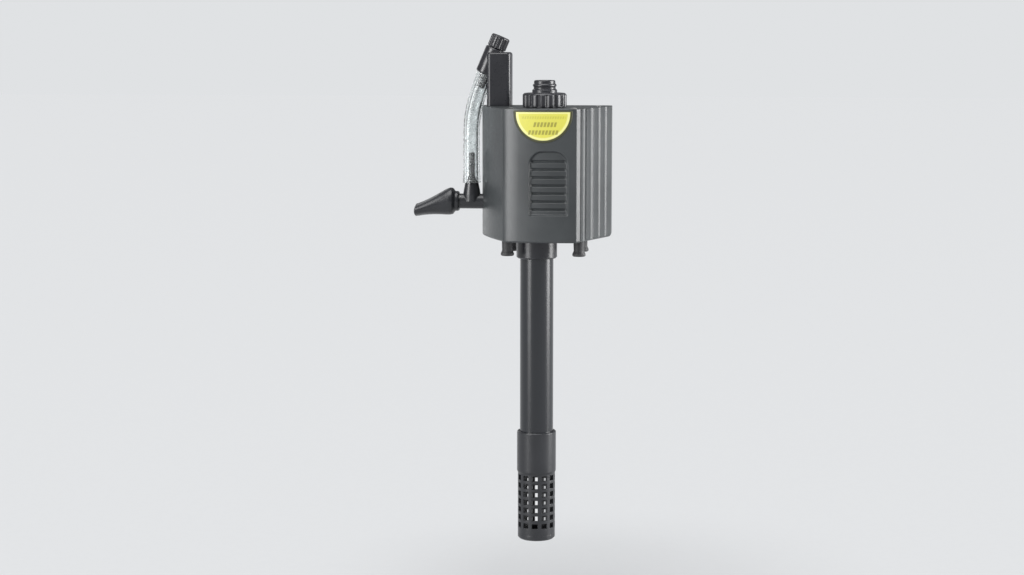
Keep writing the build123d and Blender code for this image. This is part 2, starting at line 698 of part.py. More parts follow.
with BuildPart() as volute_case:
    with BuildSketch(level(VOLUTE_BOTTOM)):
        with Locations((AXIS_X, AXIS_Y)):
            Circle(VOLUTE_RADIUS)
        with Locations(EARS):
            Circle(EAR_SIZE)
    extrude(amount=EAR_HEIGHT)
    with BuildSketch(level(VOLUTE_BOTTOM)):
        with Locations((AXIS_X, AXIS_Y)):
            Circle(VOLUTE_RADIUS)
    extrude(amount=VOLUTE_TOP - VOLUTE_BOTTOM)
    with BuildSketch(across(DUCT_END_X)):
        with Locations((OUTLET_Y, up(OUTLET_HEIGHT))):
            Circle(DUCT_RADIUS)
    extrude(amount=AXIS_X - DUCT_END_X)
    with BuildSketch(level(VOLUTE_BOTTOM - 0.5)):
        with Locations((AXIS_X, AXIS_Y)):
            Circle(CHAMBER_RADIUS)
    extrude(amount=CHAMBER_TOP - VOLUTE_BOTTOM + 0.5, mode=Mode.SUBTRACT)
    with BuildSketch(level(CHAMBER_TOP - 0.5)):
        with Locations((AXIS_X, AXIS_Y)):
            Circle(MOUTH_RADIUS)
    extrude(amount=VOLUTE_TOP - CHAMBER_TOP + 1.5, mode=Mode.SUBTRACT)
    with BuildSketch(level(VOLUTE_BOTTOM - 0.5)):
        with Locations((AXIS_X, AXIS_Y)):
            Circle(GROOVE_OUTER)
            Circle(GROOVE_INNER, mode=Mode.SUBTRACT)
    extrude(amount=SEAL_DEPTH + 0.5, mode=Mode.SUBTRACT)
    with BuildSketch(across(DUCT_END_X - 1)):
        with Locations((OUTLET_Y, up(OUTLET_HEIGHT))):
            Circle(DUCT_BORE)
    extrude(amount=AXIS_X - DUCT_END_X + 1, mode=Mode.SUBTRACT)
    with BuildSketch(across(DUCT_END_X - 1)):
        with Locations((OUTLET_Y, up(OUTLET_HEIGHT))):
            Circle(PIPE_RADIUS)
    extrude(amount=PIPE_START_X - DUCT_END_X + 1, mode=Mode.SUBTRACT)
    with BuildSketch(level(VOLUTE_BOTTOM - 0.5)):
        with Locations(EARS):
            Circle(SCREW_PILOT)
    extrude(amount=EAR_PILOT + 0.5, mode=Mode.SUBTRACT)
volute_case.part.label = "volute_case"
export_step(volute_case.part, "parts/volute_case.step")

COVER_BOTTOM = 5.0
SPOKES = 3
SPOKE_WIDTH = 1.6
HUB_BOTTOM = 3.6
HUB_TOP = 8.3

with BuildPart() as volute_cover:
    with BuildSketch(level(COVER_BOTTOM)):
        with Locations((AXIS_X, AXIS_Y)):
            Circle(VOLUTE_RADIUS)
        with Locations(EARS):
            Circle(EAR_SIZE)
        with Locations((AXIS_X, AXIS_Y)):
            Circle(EYE_RADIUS, mode=Mode.SUBTRACT)
            with PolarLocations(0, SPOKES):
                with Locations((EYE_RADIUS / 2 + 1, 0)):
                    Rectangle(EYE_RADIUS, SPOKE_WIDTH)
            Circle(HUB_RADIUS)
        with Locations(EARS):
            Circle(EAR_HOLE, mode=Mode.SUBTRACT)
    extrude(amount=VOLUTE_BOTTOM - COVER_BOTTOM)
    with BuildSketch(level(HUB_BOTTOM)):
        with Locations((AXIS_X, AXIS_Y)):
            Circle(HUB_RADIUS)
    extrude(amount=HUB_TOP - HUB_BOTTOM)
    with BuildSketch(level(BUSHES["lower_bush"][0])):
        with Locations((AXIS_X, AXIS_Y)):
            Circle(BUSHES["lower_bush"][2])
    extrude(amount=HUB_TOP - BUSHES["lower_bush"][0] + 1, mode=Mode.SUBTRACT)
volute_cover.part.label = "volute_cover"
export_step(volute_cover.part, "parts/volute_cover.step")

with BuildPart() as volute_seal:
    with BuildSketch(level(VOLUTE_BOTTOM)):
        with Locations((AXIS_X, AXIS_Y)):
            Circle(GROOVE_OUTER)
            Circle(GROOVE_INNER, mode=Mode.SUBTRACT)
    extrude(amount=SEAL_DEPTH)
volute_seal.part.label = "volute_seal"
export_step(volute_seal.part, "parts/volute_seal.step")

VOLUTE_SCREW_LENGTH = 7.0
VOLUTE_HEAD_RADIUS = 2.2
VOLUTE_HEAD_HEIGHT = 1.4

with BuildPart() as volute_screws:
    with BuildSketch(level(COVER_BOTTOM)):
        with Locations(EARS):
            Circle(SCREW_PILOT)
    extrude(amount=VOLUTE_SCREW_LENGTH)
    with BuildSketch(level(COVER_BOTTOM - VOLUTE_HEAD_HEIGHT)):
        with Locations(EARS):
            Circle(VOLUTE_HEAD_RADIUS)
    extrude(amount=VOLUTE_HEAD_HEIGHT)
volute_screws.part.label = "volute_screws"
export_step(volute_screws.part, "parts/volute_screws.step")

# Suction: the collar in the floor, the tube and the strainer

STRAINER_TOP = -93.6
STRAINER_SLEEVE = 9.4
STRAINER_RADIUS = 9.0
STRAINER_BORE = 7.4
PERFORATED_TOP = -114.0
STRAINER_BOTTOM = -144.0
HOLE_ROWS = 7
HOLE_COLUMNS = 12
HOLE_PITCH = 3.9
HOLE_WIDTH = 2.8
HOLE_HEIGHT = 2.5
FIRST_HOLE_DROP = 1.9
SLEEVE_CHAMFER = 0.4
CAP_THICKNESS = 2.5
CAP_CHAMFER = 0.8
CAP_SPIGOT_HEIGHT = 2.5
CAP_SPIGOT_WALL = 1.4
COLLAR_BOTTOM = -9.6
COLLAR_CHAMFER = 0.6
COLLAR_FLANGE = 13.0
TUBE_TOP = 1.0
TUBE_STOP = 1.3
TUBE_CHAMFER = 0.3

with BuildPart() as intake_collar:
    with BuildSketch(level(COLLAR_BOTTOM)):
        with Locations((AXIS_X, AXIS_Y)):
            Circle(COLLAR_RADIUS)
    extrude(amount=WALL - COLLAR_BOTTOM)
    chamfer(intake_collar.edges().group_by(Axis.Z)[0], length=COLLAR_CHAMFER)
    with BuildSketch(level(WALL)):
        with Locations((AXIS_X, AXIS_Y)):
            Circle(COLLAR_FLANGE)
    extrude(amount=COVER_BOTTOM - WALL)
    with BuildSketch(level(COLLAR_BOTTOM - 1)):
        with Locations((AXIS_X, AXIS_Y)):
            Circle(TUBE_RADIUS + RUNNING_GAP)
    extrude(amount=TUBE_STOP - COLLAR_BOTTOM + 1, mode=Mode.SUBTRACT)
    with BuildSketch(level(0)):
        with Locations((AXIS_X, AXIS_Y)):
            Circle(EYE_RADIUS)
    extrude(amount=COVER_BOTTOM + 1, mode=Mode.SUBTRACT)
intake_collar.part.label = "intake_collar"
export_step(intake_collar.part, "parts/intake_collar.step")

with BuildPart() as suction_tube:
    with BuildSketch(level(TUBE_BOTTOM)):
        with Locations((AXIS_X, AXIS_Y)):
            Circle(TUBE_RADIUS)
            Circle(TUBE_BORE, mode=Mode.SUBTRACT)
    extrude(amount=TUBE_TOP - TUBE_BOTTOM)
    chamfer(suction_tube.edges().filter_by(GeomType.CIRCLE), length=TUBE_CHAMFER)
suction_tube.part.label = "suction_tube"
export_step(suction_tube.part, "parts/suction_tube.step")

with BuildPart() as strainer_basket:
    with BuildSketch(upright(AXIS_X, AXIS_Y)):
        with BuildLine():
            Polyline(
                (TUBE_RADIUS + RUNNING_GAP, up(STRAINER_TOP)),
                (STRAINER_SLEEVE - SLEEVE_CHAMFER, up(STRAINER_TOP)),
                (STRAINER_SLEEVE, up(STRAINER_TOP - SLEEVE_CHAMFER)),
                (STRAINER_SLEEVE, up(PERFORATED_TOP + 1.0)),
                (STRAINER_RADIUS, up(PERFORATED_TOP)), (STRAINER_RADIUS, up(STRAINER_BOTTOM)),
                (STRAINER_BORE, up(STRAINER_BOTTOM)), (STRAINER_BORE, up(TUBE_BOTTOM - 0.3)),
                (TUBE_RADIUS + RUNNING_GAP, up(TUBE_BOTTOM - 0.3)),
                close=True,
            )
        make_face()
    revolve(axis=Axis((AXIS_X, AXIS_Y, 0), (0, 0, 1)))
    for row in range(HOLE_ROWS):
        height = up(PERFORATED_TOP - FIRST_HOLE_DROP - HOLE_PITCH * row)
        with Locations(Location((AXIS_X, AXIS_Y, height))):
            with PolarLocations(0, HOLE_COLUMNS):
                Box(
                    2 * STRAINER_RADIUS, HOLE_WIDTH, HOLE_HEIGHT,
                    align=(Align.MIN, Align.CENTER, Align.CENTER), mode=Mode.SUBTRACT,
                )
strainer_basket.part.label = "strainer_basket"
export_step(strainer_basket.part, "parts/strainer_basket.step")

with BuildPart() as strainer_cap:
    with BuildSketch(level(STRAINER_BOTTOM - CAP_THICKNESS)):
        with Locations((AXIS_X, AXIS_Y)):
            Circle(STRAINER_RADIUS)
    extrude(amount=CAP_THICKNESS)
    chamfer(strainer_cap.edges().group_by(Axis.Z)[0], length=CAP_CHAMFER)
    with BuildSketch(level(STRAINER_BOTTOM)):
        with Locations((AXIS_X, AXIS_Y)):
            Circle(STRAINER_BORE)
            Circle(STRAINER_BORE - CAP_SPIGOT_WALL, mode=Mode.SUBTRACT)
    extrude(amount=CAP_SPIGOT_HEIGHT)
strainer_cap.part.label = "strainer_cap"
export_step(strainer_cap.part, "parts/strainer_cap.step")

# Outlet: a pipe with a conical air socket, a barb in the airline, and a duckbill nozzle that turns on it

SOCKET_TOP = 25.5
SOCKET_FOOT = 3.4
SOCKET_SHOULDER = 3.5
SOCKET_RADII = (4.2, 3.9, 3.2)
AIR_BORE = 0.8
STEM_RADIUS = 1.6
STEM_SEAT = SOCKET_TOP - 4.0
BARB_RADIUS = HOSE_BORE - 0.1
BARB_TOP = 40.0

with BuildPart() as outlet_tee:
    with BuildSketch(across(PIPE_END_X)):
        with Locations((OUTLET_Y, up(OUTLET_HEIGHT))):
            Circle(PIPE_RADIUS)
    extrude(amount=PIPE_START_X - PIPE_END_X)
    with BuildSketch(upright(SOCKET_X, OUTLET_Y)):
        with BuildLine():
            Polyline(
                (0, up(OUTLET_HEIGHT)), (SOCKET_RADII[0], up(OUTLET_HEIGHT)),
                (SOCKET_RADII[0], up(OUTLET_HEIGHT + SOCKET_FOOT)),
                (SOCKET_RADII[1], up(SOCKET_TOP - SOCKET_SHOULDER)), (SOCKET_RADII[2], up(SOCKET_TOP)),
                (0, up(SOCKET_TOP)),
                close=True,
            )
        make_face()
    revolve(axis=Axis((SOCKET_X, OUTLET_Y, 0), (0, 0, 1)))
    with BuildSketch(across(PIPE_END_X)):
        with Locations((OUTLET_Y, up(OUTLET_HEIGHT))):
            Circle(PIPE_BORE)
    extrude(amount=PIPE_START_X - PIPE_END_X, mode=Mode.SUBTRACT)
    with BuildSketch(level(OUTLET_HEIGHT)):
        with Locations((SOCKET_X, OUTLET_Y)):
            Circle(AIR_BORE)
    extrude(amount=CUT_LENGTH, mode=Mode.SUBTRACT)
    with BuildSketch(level(STEM_SEAT)):
        with Locations((SOCKET_X, OUTLET_Y)):
            Circle(STEM_RADIUS)
    extrude(amount=CUT_LENGTH, mode=Mode.SUBTRACT)
outlet_tee.part.label = "outlet_tee"
export_step(outlet_tee.part, "parts/outlet_tee.step")

with BuildPart() as air_barb:
    with BuildSketch(upright(SOCKET_X, OUTLET_Y)):
        with BuildLine():
            Polyline(
                (AIR_BORE, up(STEM_SEAT)), (STEM_RADIUS, up(STEM_SEAT)), (STEM_RADIUS, up(SOCKET_TOP)),
                (BARB_RADIUS, up(SOCKET_TOP + 0.1)), (BARB_RADIUS, up(SOCKET_TOP + 0.8)),
                (STEM_RADIUS - 0.1, up(SOCKET_TOP + 3.4)), (STEM_RADIUS - 0.2, up(BARB_TOP - 0.5)),
                (STEM_RADIUS - 0.5, up(BARB_TOP)), (AIR_BORE, up(BARB_TOP)),
                close=True,
            )
        make_face()
    revolve(axis=Axis((SOCKET_X, OUTLET_Y, 0), (0, 0, 1)))
air_barb.part.label = "air_barb"
export_step(air_barb.part, "parts/air_barb.step")

NOZZLE_BACK_X = -42.4
NOZZLE_WIDEST_X = -46.2
NOZZLE_RADIUS = 6.5
NOZZLE_COLLAR = 4.6
NOZZLE_SHOULDER = 6.2
NOZZLE_STOP_X = PIPE_END_X - 0.3
# Half the width and half the height of the nozzle outside, half-way along and at its tip, and of its mouth
NOZZLE_MIDDLE = (7.1, 4.7)
NOZZLE_END = (8.2, 2.9)
NOZZLE_MOUTH = (6.8, 1.5)


def nozzle_section(x, half_width, half_height, drop):
    """An ellipse across the nozzle at x, a drop below the pipe's axis."""
    with BuildSketch(across(x)) as section:
        with Locations((OUTLET_Y, up(OUTLET_HEIGHT - drop))):
            Ellipse(half_width, half_height)
    return section.sketch


outer_sections = [
    nozzle_section(NOZZLE_WIDEST_X, NOZZLE_RADIUS, NOZZLE_RADIUS, 0),
    nozzle_section((NOZZLE_WIDEST_X + NOZZLE_TIP_X) / 2, *NOZZLE_MIDDLE, NOZZLE_DROP * 0.48),
    nozzle_section(NOZZLE_TIP_X, *NOZZLE_END, NOZZLE_DROP),
]
inner_sections = [
    nozzle_section(NOZZLE_STOP_X, PIPE_RADIUS + RUNNING_GAP, PIPE_RADIUS + RUNNING_GAP, NOZZLE_DROP * 0.2),
    nozzle_section(NOZZLE_TIP_X - 0.1, *NOZZLE_MOUTH, NOZZLE_DROP),
]

with BuildPart() as duckbill_nozzle:
    loft(outer_sections)
    with BuildSketch(Plane.XY.offset(up(OUTLET_HEIGHT))):
        with BuildLine():
            Polyline(
                (NOZZLE_BACK_X, OUTLET_Y), (NOZZLE_BACK_X, OUTLET_Y + NOZZLE_COLLAR),
                (NOZZLE_WIDEST_X + 1.2, OUTLET_Y + NOZZLE_SHOULDER),
                (NOZZLE_WIDEST_X, OUTLET_Y + NOZZLE_RADIUS), (NOZZLE_WIDEST_X, OUTLET_Y),
                close=True,
            )
        make_face()
    revolve(axis=Axis((0, OUTLET_Y, up(OUTLET_HEIGHT)), (1, 0, 0)))
    with BuildSketch(across(NOZZLE_STOP_X)):
        with Locations((OUTLET_Y, up(OUTLET_HEIGHT))):
            Circle(PIPE_RADIUS + RUNNING_GAP)
    extrude(amount=CUT_LENGTH, mode=Mode.SUBTRACT)
    loft(inner_sections, mode=Mode.SUBTRACT)
duckbill_nozzle.part.label = "duckbill_nozzle"
export_step(duckbill_nozzle.part, "parts/duckbill_nozzle.step")

# Airline: up from the barb and leaning to the air valve, whose axis is the hose's last run

HOSE_RISE = (SOCKET_X - 0.2, 42.0)
HOSE_BEND = (SOCKET_X + 0.3, 62.5)
LAST_RUN = 16.5
HOSE_ROUTE = [
    Vector(SOCKET_X, OUTLET_Y, up(SOCKET_TOP + 0.1)),
    Vector(HOSE_RISE[0], OUTLET_Y, up(HOSE_RISE[1])),
    Vector(HOSE_BEND[0], OUTLET_Y, up(HOSE_BEND[1])),
    Vector(
        HOSE_BEND[0] + LAST_RUN * sin(radians(LEAN)),
        OUTLET_Y,
        up(HOSE_BEND[1] + LAST_RUN * cos(radians(LEAN))),
    ),
]
HOSE_RADII = []
for before, point, after in zip(HOSE_ROUTE, HOSE_ROUTE[1:], HOSE_ROUTE[2:]):
    turn = radians((point - before).get_angle(after - point))
    HOSE_RADII.append(0.45 * min((point - before).length, (after - point).length) / tan(turn / 2))
print("airline radii", [round(r, 1) for r in HOSE_RADII])

with BuildPart() as airline_hose:
    with BuildLine() as route:
        FilletPolyline(*HOSE_ROUTE, radius=HOSE_RADII)
    with BuildSketch(Plane(HOSE_ROUTE[0], z_dir=HOSE_ROUTE[1] - HOSE_ROUTE[0])):
        Circle(HOSE_RADIUS)
        Circle(HOSE_BORE, mode=Mode.SUBTRACT)
    sweep(path=route.wires()[0])
airline_hose.part.label = "airline_hose"
export_step(airline_hose.part, "parts/airline_hose.step")
print("airline length", round(route.wires()[0].length, 1), "volume", round(airline_hose.part.volume, 1))

lean_direction = (HOSE_ROUTE[3] - HOSE_ROUTE[2]).normalized()
valve_plane = Plane(HOSE_ROUTE[3], x_dir=(0, 1, 0), z_dir=lean_direction)
VALVE_RADIUS = 5.0
VALVE_LENGTH = 13.0
VALVE_FOOT = 0.05
TAIL_LENGTH = 7.0
TAIL_TAPER = 4.0
TAIL_BORE = 1.0
KNOB_RADIUS = 4.6
KNOB_HEIGHT = 6.0
KNOB_GAP = 0.35
KNOB_FLUTES = 14
KNOB_FLUTE_RADIUS = 0.75
NEEDLE_RADIUS = 1.4
NEEDLE_SEAT = 4.0

with BuildPart() as air_valve_body:
    with BuildSketch(valve_plane.offset(VALVE_FOOT)):
        Circle(VALVE_RADIUS)
    extrude(amount=VALVE_LENGTH)
    chamfer(air_valve_body.edges().filter_by(GeomType.CIRCLE), length=0.5)
    with BuildSketch(valve_plane.offset(VALVE_FOOT)):
        Circle(BARB_RADIUS)
    extrude(amount=-TAIL_LENGTH, taper=TAIL_TAPER)
    with BuildSketch(valve_plane.offset(-TAIL_LENGTH - 1)):
        Circle(TAIL_BORE)
    extrude(amount=TAIL_LENGTH + 1 + NEEDLE_SEAT, mode=Mode.SUBTRACT)
    with BuildSketch(valve_plane.offset(NEEDLE_SEAT)):
        Circle(NEEDLE_RADIUS + RUNNING_GAP)
    extrude(amount=VALVE_LENGTH, mode=Mode.SUBTRACT)
air_valve_body.part.label = "air_valve_body"
export_step(air_valve_body.part, "parts/air_valve_body.step")

with BuildPart() as air_valve_knob:
    with BuildSketch(valve_plane.offset(VALVE_LENGTH + KNOB_GAP)):
        Circle(KNOB_RADIUS)
        with PolarLocations(KNOB_RADIUS + KNOB_FLUTE_RADIUS / 2, KNOB_FLUTES):
            Circle(KNOB_FLUTE_RADIUS, mode=Mode.SUBTRACT)
    extrude(amount=KNOB_HEIGHT)
    with BuildSketch(valve_plane.offset(NEEDLE_SEAT + 1)):
        Circle(NEEDLE_RADIUS)
    extrude(amount=VALVE_LENGTH - NEEDLE_SEAT)
air_valve_knob.part.label = "air_valve_knob"
export_step(air_valve_knob.part, "parts/air_valve_knob.step")

BRACKET_TOP = 88.0
BRACKET_RIGHT_X = -17.0
BRACKET_WIDTH = 11.5
BRACKET_DEPTH = 12.0
BRACKET_CORNER = 2.0
BRACKET_TOP_CORNER = 1.2
CHANNEL_GAP = 0.4

with BuildPart() as valve_bracket:
    with BuildSketch(level(CASE_HEIGHT)):
        with Locations((BRACKET_RIGHT_X, OUTLET_Y)):
            Rectangle(BRACKET_WIDTH, BRACKET_DEPTH, align=(Align.MAX, Align.CENTER))
    extrude(amount=BRACKET_TOP - CASE_HEIGHT)
    fillet(valve_bracket.edges().filter_by(Axis.Z), radius=BRACKET_CORNER)
    fillet(valve_bracket.edges().group_by(Axis.Z)[-1], radius=BRACKET_TOP_CORNER)
    # A sloping channel leaves room for the hose, and above it a round seat holds the valve's body.
    with BuildSketch(valve_plane.offset(-LAST_RUN)):
        Circle(HOSE_RADIUS + CHANNEL_GAP)
    extrude(amount=LAST_RUN, mode=Mode.SUBTRACT)
    with BuildSketch(valve_plane.offset(-0.2)):
        Circle(VALVE_RADIUS + 0.02)
    extrude(amount=2 * VALVE_LENGTH, mode=Mode.SUBTRACT)
    with BuildSketch(level(CASE_HEIGHT - LID_THICKNESS)):
        with Locations(PEG):
            Circle(PEG_RADIUS)
    extrude(amount=LID_THICKNESS)
valve_bracket.part.label = "valve_bracket"
export_step(valve_bracket.part, "parts/valve_bracket.step")

# What holds the pump: a bracket with four suction cups at the back, and four feet below

PLATE_BACK_Y = -8.5
PLATE_THICKNESS = 2.0
PLATE_SIZE = (51.0, 46.0)
PLATE_CORNER = 4.0
RAIL_X = 22.5
RAIL_WIDTH = 6.0
RIB_SIZE = (5.0, 40.0)
RIB_CORNER = 2.0
CUP_HOLE = 2.65
BRACKET_SCREW_HOLE = 1.3
# A screw's head radius, head height and whole length
BRACKET_SCREW = (2.3, 1.3, 8.5)

with BuildPart() as suction_bracket:
    with BuildSketch(Plane.XZ.offset(-PLATE_BACK_Y)):
        RectangleRounded(*PLATE_SIZE, PLATE_CORNER)
        with Locations(CUPS):
            Circle(CUP_HOLE, mode=Mode.SUBTRACT)
    extrude(amount=PLATE_THICKNESS)
    with BuildSketch(Plane.XZ.offset(-PLATE_BACK_Y + PLATE_THICKNESS)):
        for side in (-1, 1):
            with Locations((side * RAIL_X, 0)):
                RectangleRounded(RAIL_WIDTH, PLATE_SIZE[1], RIB_CORNER)
        RectangleRounded(*RIB_SIZE, RIB_CORNER)
    extrude(amount=-BACK_Y + PLATE_BACK_Y - PLATE_THICKNESS)
    with BuildSketch(Plane.XZ.offset(-PLATE_BACK_Y)):
        with Locations(BRACKET_SCREWS):
            Circle(BRACKET_SCREW_HOLE)
    extrude(amount=CUT_LENGTH, mode=Mode.SUBTRACT)
suction_bracket.part.label = "suction_bracket"
export_step(suction_bracket.part, "parts/suction_bracket.step")

bracket_screw_shapes = [
    screw(Plane((x, PLATE_BACK_Y + BRACKET_SCREW[1], z), z_dir=(0, 1, 0)), SCREW_PILOT, *BRACKET_SCREW)
    for x, z in BRACKET_SCREWS
]
with BuildPart() as bracket_screws:
    add(bracket_screw_shapes)
bracket_screws.part.label = "bracket_screws"
export_step(bracket_screws.part, "parts/bracket_screws.step")

CUP_RADIUS = 12.0
CUP_BUTTON = 4.2
CUP_BUTTON_Y = (-13.4, -10.5)
CUP_WAIST = 2.6
CUP_SHOULDER = (5.0, -7.0)
CUP_HOLLOW = (4.0, -5.2)
CUP_LIP = (1.2, 0.6)

with BuildPart() as one_cup:
    with BuildSketch(Plane.XY):
        with BuildLine():
            Polyline(
                (0, CUP_BUTTON_Y[0]), (CUP_BUTTON - 0.6, CUP_BUTTON_Y[0]),
                (CUP_BUTTON, CUP_BUTTON_Y[0] + 0.6), (CUP_BUTTON, CUP_BUTTON_Y[1]),
                (CUP_WAIST, CUP_BUTTON_Y[1]), (CUP_WAIST, PLATE_BACK_Y),
                (CUP_SHOULDER[0], PLATE_BACK_Y), CUP_SHOULDER, (CUP_RADIUS, -CUP_LIP[1]), (CUP_RADIUS, 0),
                (CUP_RADIUS - CUP_LIP[0], 0), CUP_HOLLOW, (0, CUP_HOLLOW[1]),
                close=True,
            )
        make_face()
    revolve(axis=Axis.Y)

with BuildPart() as suction_cups:
    for x, z in CUPS:
        add(Location((x, 0, z)) * one_cup.part)
suction_cups.part.label = "suction_cups"
export_step(suction_cups.part, "parts/suction_cups.step")

FOOT_HEIGHT = 7.5
FOOT_PLUG_TOP = 2.4
FOOT_TOP_RADIUS = 2.7
FOOT_WAIST = 2.5
FOOT_RADIUS = 3.2

with BuildPart() as one_foot:
    with BuildSketch(Plane.XZ):
        with BuildLine():
            Polyline(
                (0, up(FOOT_PLUG_TOP)), (FOOT_PLUG, up(FOOT_PLUG_TOP)), (FOOT_PLUG, up(0)),
                (FOOT_TOP_RADIUS, up(0)), (FOOT_WAIST, up(-FOOT_HEIGHT + 2)),
                (FOOT_RADIUS, up(-FOOT_HEIGHT + 0.4)),
                (FOOT_RADIUS - 0.2, up(-FOOT_HEIGHT)), (0, up(-FOOT_HEIGHT)),
                close=True,
            )
        make_face()
    revolve(axis=Axis.Z)

with BuildPart() as rubber_feet:
    for x, y in FEET:
        add(Location((x, y, 0)) * one_foot.part)
rubber_feet.part.label = "rubber_feet"
export_step(rubber_feet.part, "parts/rubber_feet.step")
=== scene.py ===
# %% [markdown]
# # A submersible filter pump
# The pump hangs on an aquarium's glass wall. Water comes up through a strainer and a tube, a small wheel throws it
# out through a flat nozzle on the left, and a clear airline lets air into that stream. The frame below is the
# engineering model. Everything here is laid over it, in metres and in the same places.

# %% Load the frame
import bmesh
import bpy
import numpy as np
from math import cos, radians, sin
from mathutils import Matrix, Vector


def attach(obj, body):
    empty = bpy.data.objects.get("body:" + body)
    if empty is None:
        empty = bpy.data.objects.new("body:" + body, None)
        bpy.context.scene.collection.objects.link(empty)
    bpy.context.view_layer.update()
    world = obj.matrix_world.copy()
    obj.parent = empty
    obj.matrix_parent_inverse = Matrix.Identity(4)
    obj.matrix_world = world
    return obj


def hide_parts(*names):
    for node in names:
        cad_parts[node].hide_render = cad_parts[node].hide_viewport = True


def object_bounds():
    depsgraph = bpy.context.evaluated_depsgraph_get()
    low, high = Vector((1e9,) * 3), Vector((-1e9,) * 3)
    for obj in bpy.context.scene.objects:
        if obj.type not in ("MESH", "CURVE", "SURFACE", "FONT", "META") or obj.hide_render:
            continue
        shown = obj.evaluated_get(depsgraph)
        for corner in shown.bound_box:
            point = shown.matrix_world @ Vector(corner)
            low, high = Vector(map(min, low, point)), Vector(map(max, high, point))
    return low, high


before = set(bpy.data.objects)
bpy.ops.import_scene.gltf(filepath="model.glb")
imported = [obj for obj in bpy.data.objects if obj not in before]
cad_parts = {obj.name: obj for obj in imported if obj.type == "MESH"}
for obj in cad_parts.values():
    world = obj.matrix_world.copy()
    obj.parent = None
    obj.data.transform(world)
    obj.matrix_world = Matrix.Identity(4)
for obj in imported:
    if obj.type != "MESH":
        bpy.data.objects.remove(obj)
CAD_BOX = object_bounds()
MM = 0.001

# %% [markdown]
# ## The camera
# A long lens a metre away keeps the upright lines nearly upright, as in a catalogue picture. It looks slightly from
# the right and from a little above the casing. The lens is worked out from how much of the picture the pump fills,
# so the framing follows the model if the model changes.

# %% Camera
VIEW_AZIMUTH = radians(5.7)
VIEW_DISTANCE = 1.05
VIEW_HEIGHT = 0.079
FILLED = 0.88
IMAGE = (1024, 575)

low, high = CAD_BOX
centre = (low + high) / 2
camera_data = bpy.data.cameras.new("view")
camera = bpy.data.objects.new("view", camera_data)
bpy.context.scene.collection.objects.link(camera)
bpy.context.scene.camera = camera
camera.location = (
    centre.x + VIEW_DISTANCE * sin(VIEW_AZIMUTH),
    centre.y - VIEW_DISTANCE * cos(VIEW_AZIMUTH),
    VIEW_HEIGHT,
)
camera.rotation_euler = (centre - camera.location).to_track_quat("-Z", "Y").to_euler()
sensor_height = camera_data.sensor_width * IMAGE[1] / IMAGE[0]
camera_data.lens = sensor_height * FILLED * (centre - camera.location).length / (high.z - low.z)
print("lens", round(camera_data.lens, 1), "mm")

# %% [markdown]
# ## Meshes from arrays
# Every new piece is a surface worked out on a grid of two parameters. numpy computes all of its points at once, and
# one call hands them to Blender. A grid's seam and poles are closed by merging points that fall together, and then
# the faces are turned outwards.


# %% Grids and meshes
def grid_faces(rows, columns, ring=True):
    """The four corners of each cell of a grid: a point, the next in its row, and the two above them in the next row.
    A ring's last column meets its first."""
    across = columns if ring else columns - 1
    row, column = np.meshgrid(np.arange(rows - 1), np.arange(across), indexing="ij")
    after = (column + 1) % columns
    corners = [row * columns + column, row * columns + after, (row + 1) * columns + after, (row + 1) * columns + column]
    return np.stack(corners, axis=-1).reshape(-1, 4)


def around(count):
    """Angles at equal steps round a full turn, without the last, which is the first again."""
    return np.linspace(0, 2 * np.pi, count, endpoint=False)


def make_piece(name, shells, body, replaced, uv=None, crisp=35):
    """One object from a list of shells, each its points and its faces, merged at seams and poles and turned outwards.
    Edges that turn by more than the crisp angle, in degrees, stay sharp."""
    points = np.concatenate([p for p, _ in shells])
    starts = np.cumsum([0] + [len(p) for p, _ in shells[:-1]])
    faces = np.concatenate([f + s for (_, f), s in zip(shells, starts)])
    mesh = bpy.data.meshes.new(name)
    mesh.from_pydata(points, [], faces.tolist())
    if uv is not None:
        layer = mesh.uv_layers.new(name="print")
        corners = np.empty(len(mesh.loops), dtype=np.int32)
        mesh.loops.foreach_get("vertex_index", corners)
        layer.data.foreach_set("uv", uv[corners].astype(np.float32).ravel())
    worked = bmesh.new()
    worked.from_mesh(mesh)
    bmesh.ops.remove_doubles(worked, verts=worked.verts, dist=2e-6)
    bmesh.ops.dissolve_degenerate(worked, edges=worked.edges, dist=1e-7)
    bmesh.ops.recalc_face_normals(worked, faces=worked.faces)
    worked.to_mesh(mesh)
    worked.free()
    mesh.polygons.foreach_set("use_smooth", np.ones(len(mesh.polygons), dtype=bool))
    mesh.set_sharp_from_angle(angle=radians(crisp))
    piece = bpy.data.objects.new(name, mesh)
    bpy.context.scene.collection.objects.link(piece)
    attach(piece, body)
    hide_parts(*replaced)
    print(name, len(mesh.polygons), "faces on", body)
    return piece


# %% Profiles turned round an axis
def soften(corners, reach, steps=4):
    """A profile whose corners are rounded: at each inner corner, a curve that starts and ends a reach away along its
    two sides, but never past 45% of the shorter one, and is the quadratic blend of start, corner and end."""
    corners = np.array(corners, float)
    before, corner, after = corners[:-2], corners[1:-1], corners[2:]
    back, ahead = before - corner, after - corner
    short = np.minimum(np.linalg.norm(back, axis=1), np.linalg.norm(ahead, axis=1))
    size = np.minimum(reach, 0.45 * short)[:, None]
    start = corner + back / np.linalg.norm(back, axis=1)[:, None] * size
    end = corner + ahead / np.linalg.norm(ahead, axis=1)[:, None] * size
    t = np.linspace(0, 1, steps + 1)[None, :, None]
    curve = (1 - t) ** 2 * start[:, None] + 2 * t * (1 - t) * corner[:, None] + t**2 * end[:, None]
    return np.concatenate([corners[:1], curve.reshape(-1, 2), corners[-1:]])


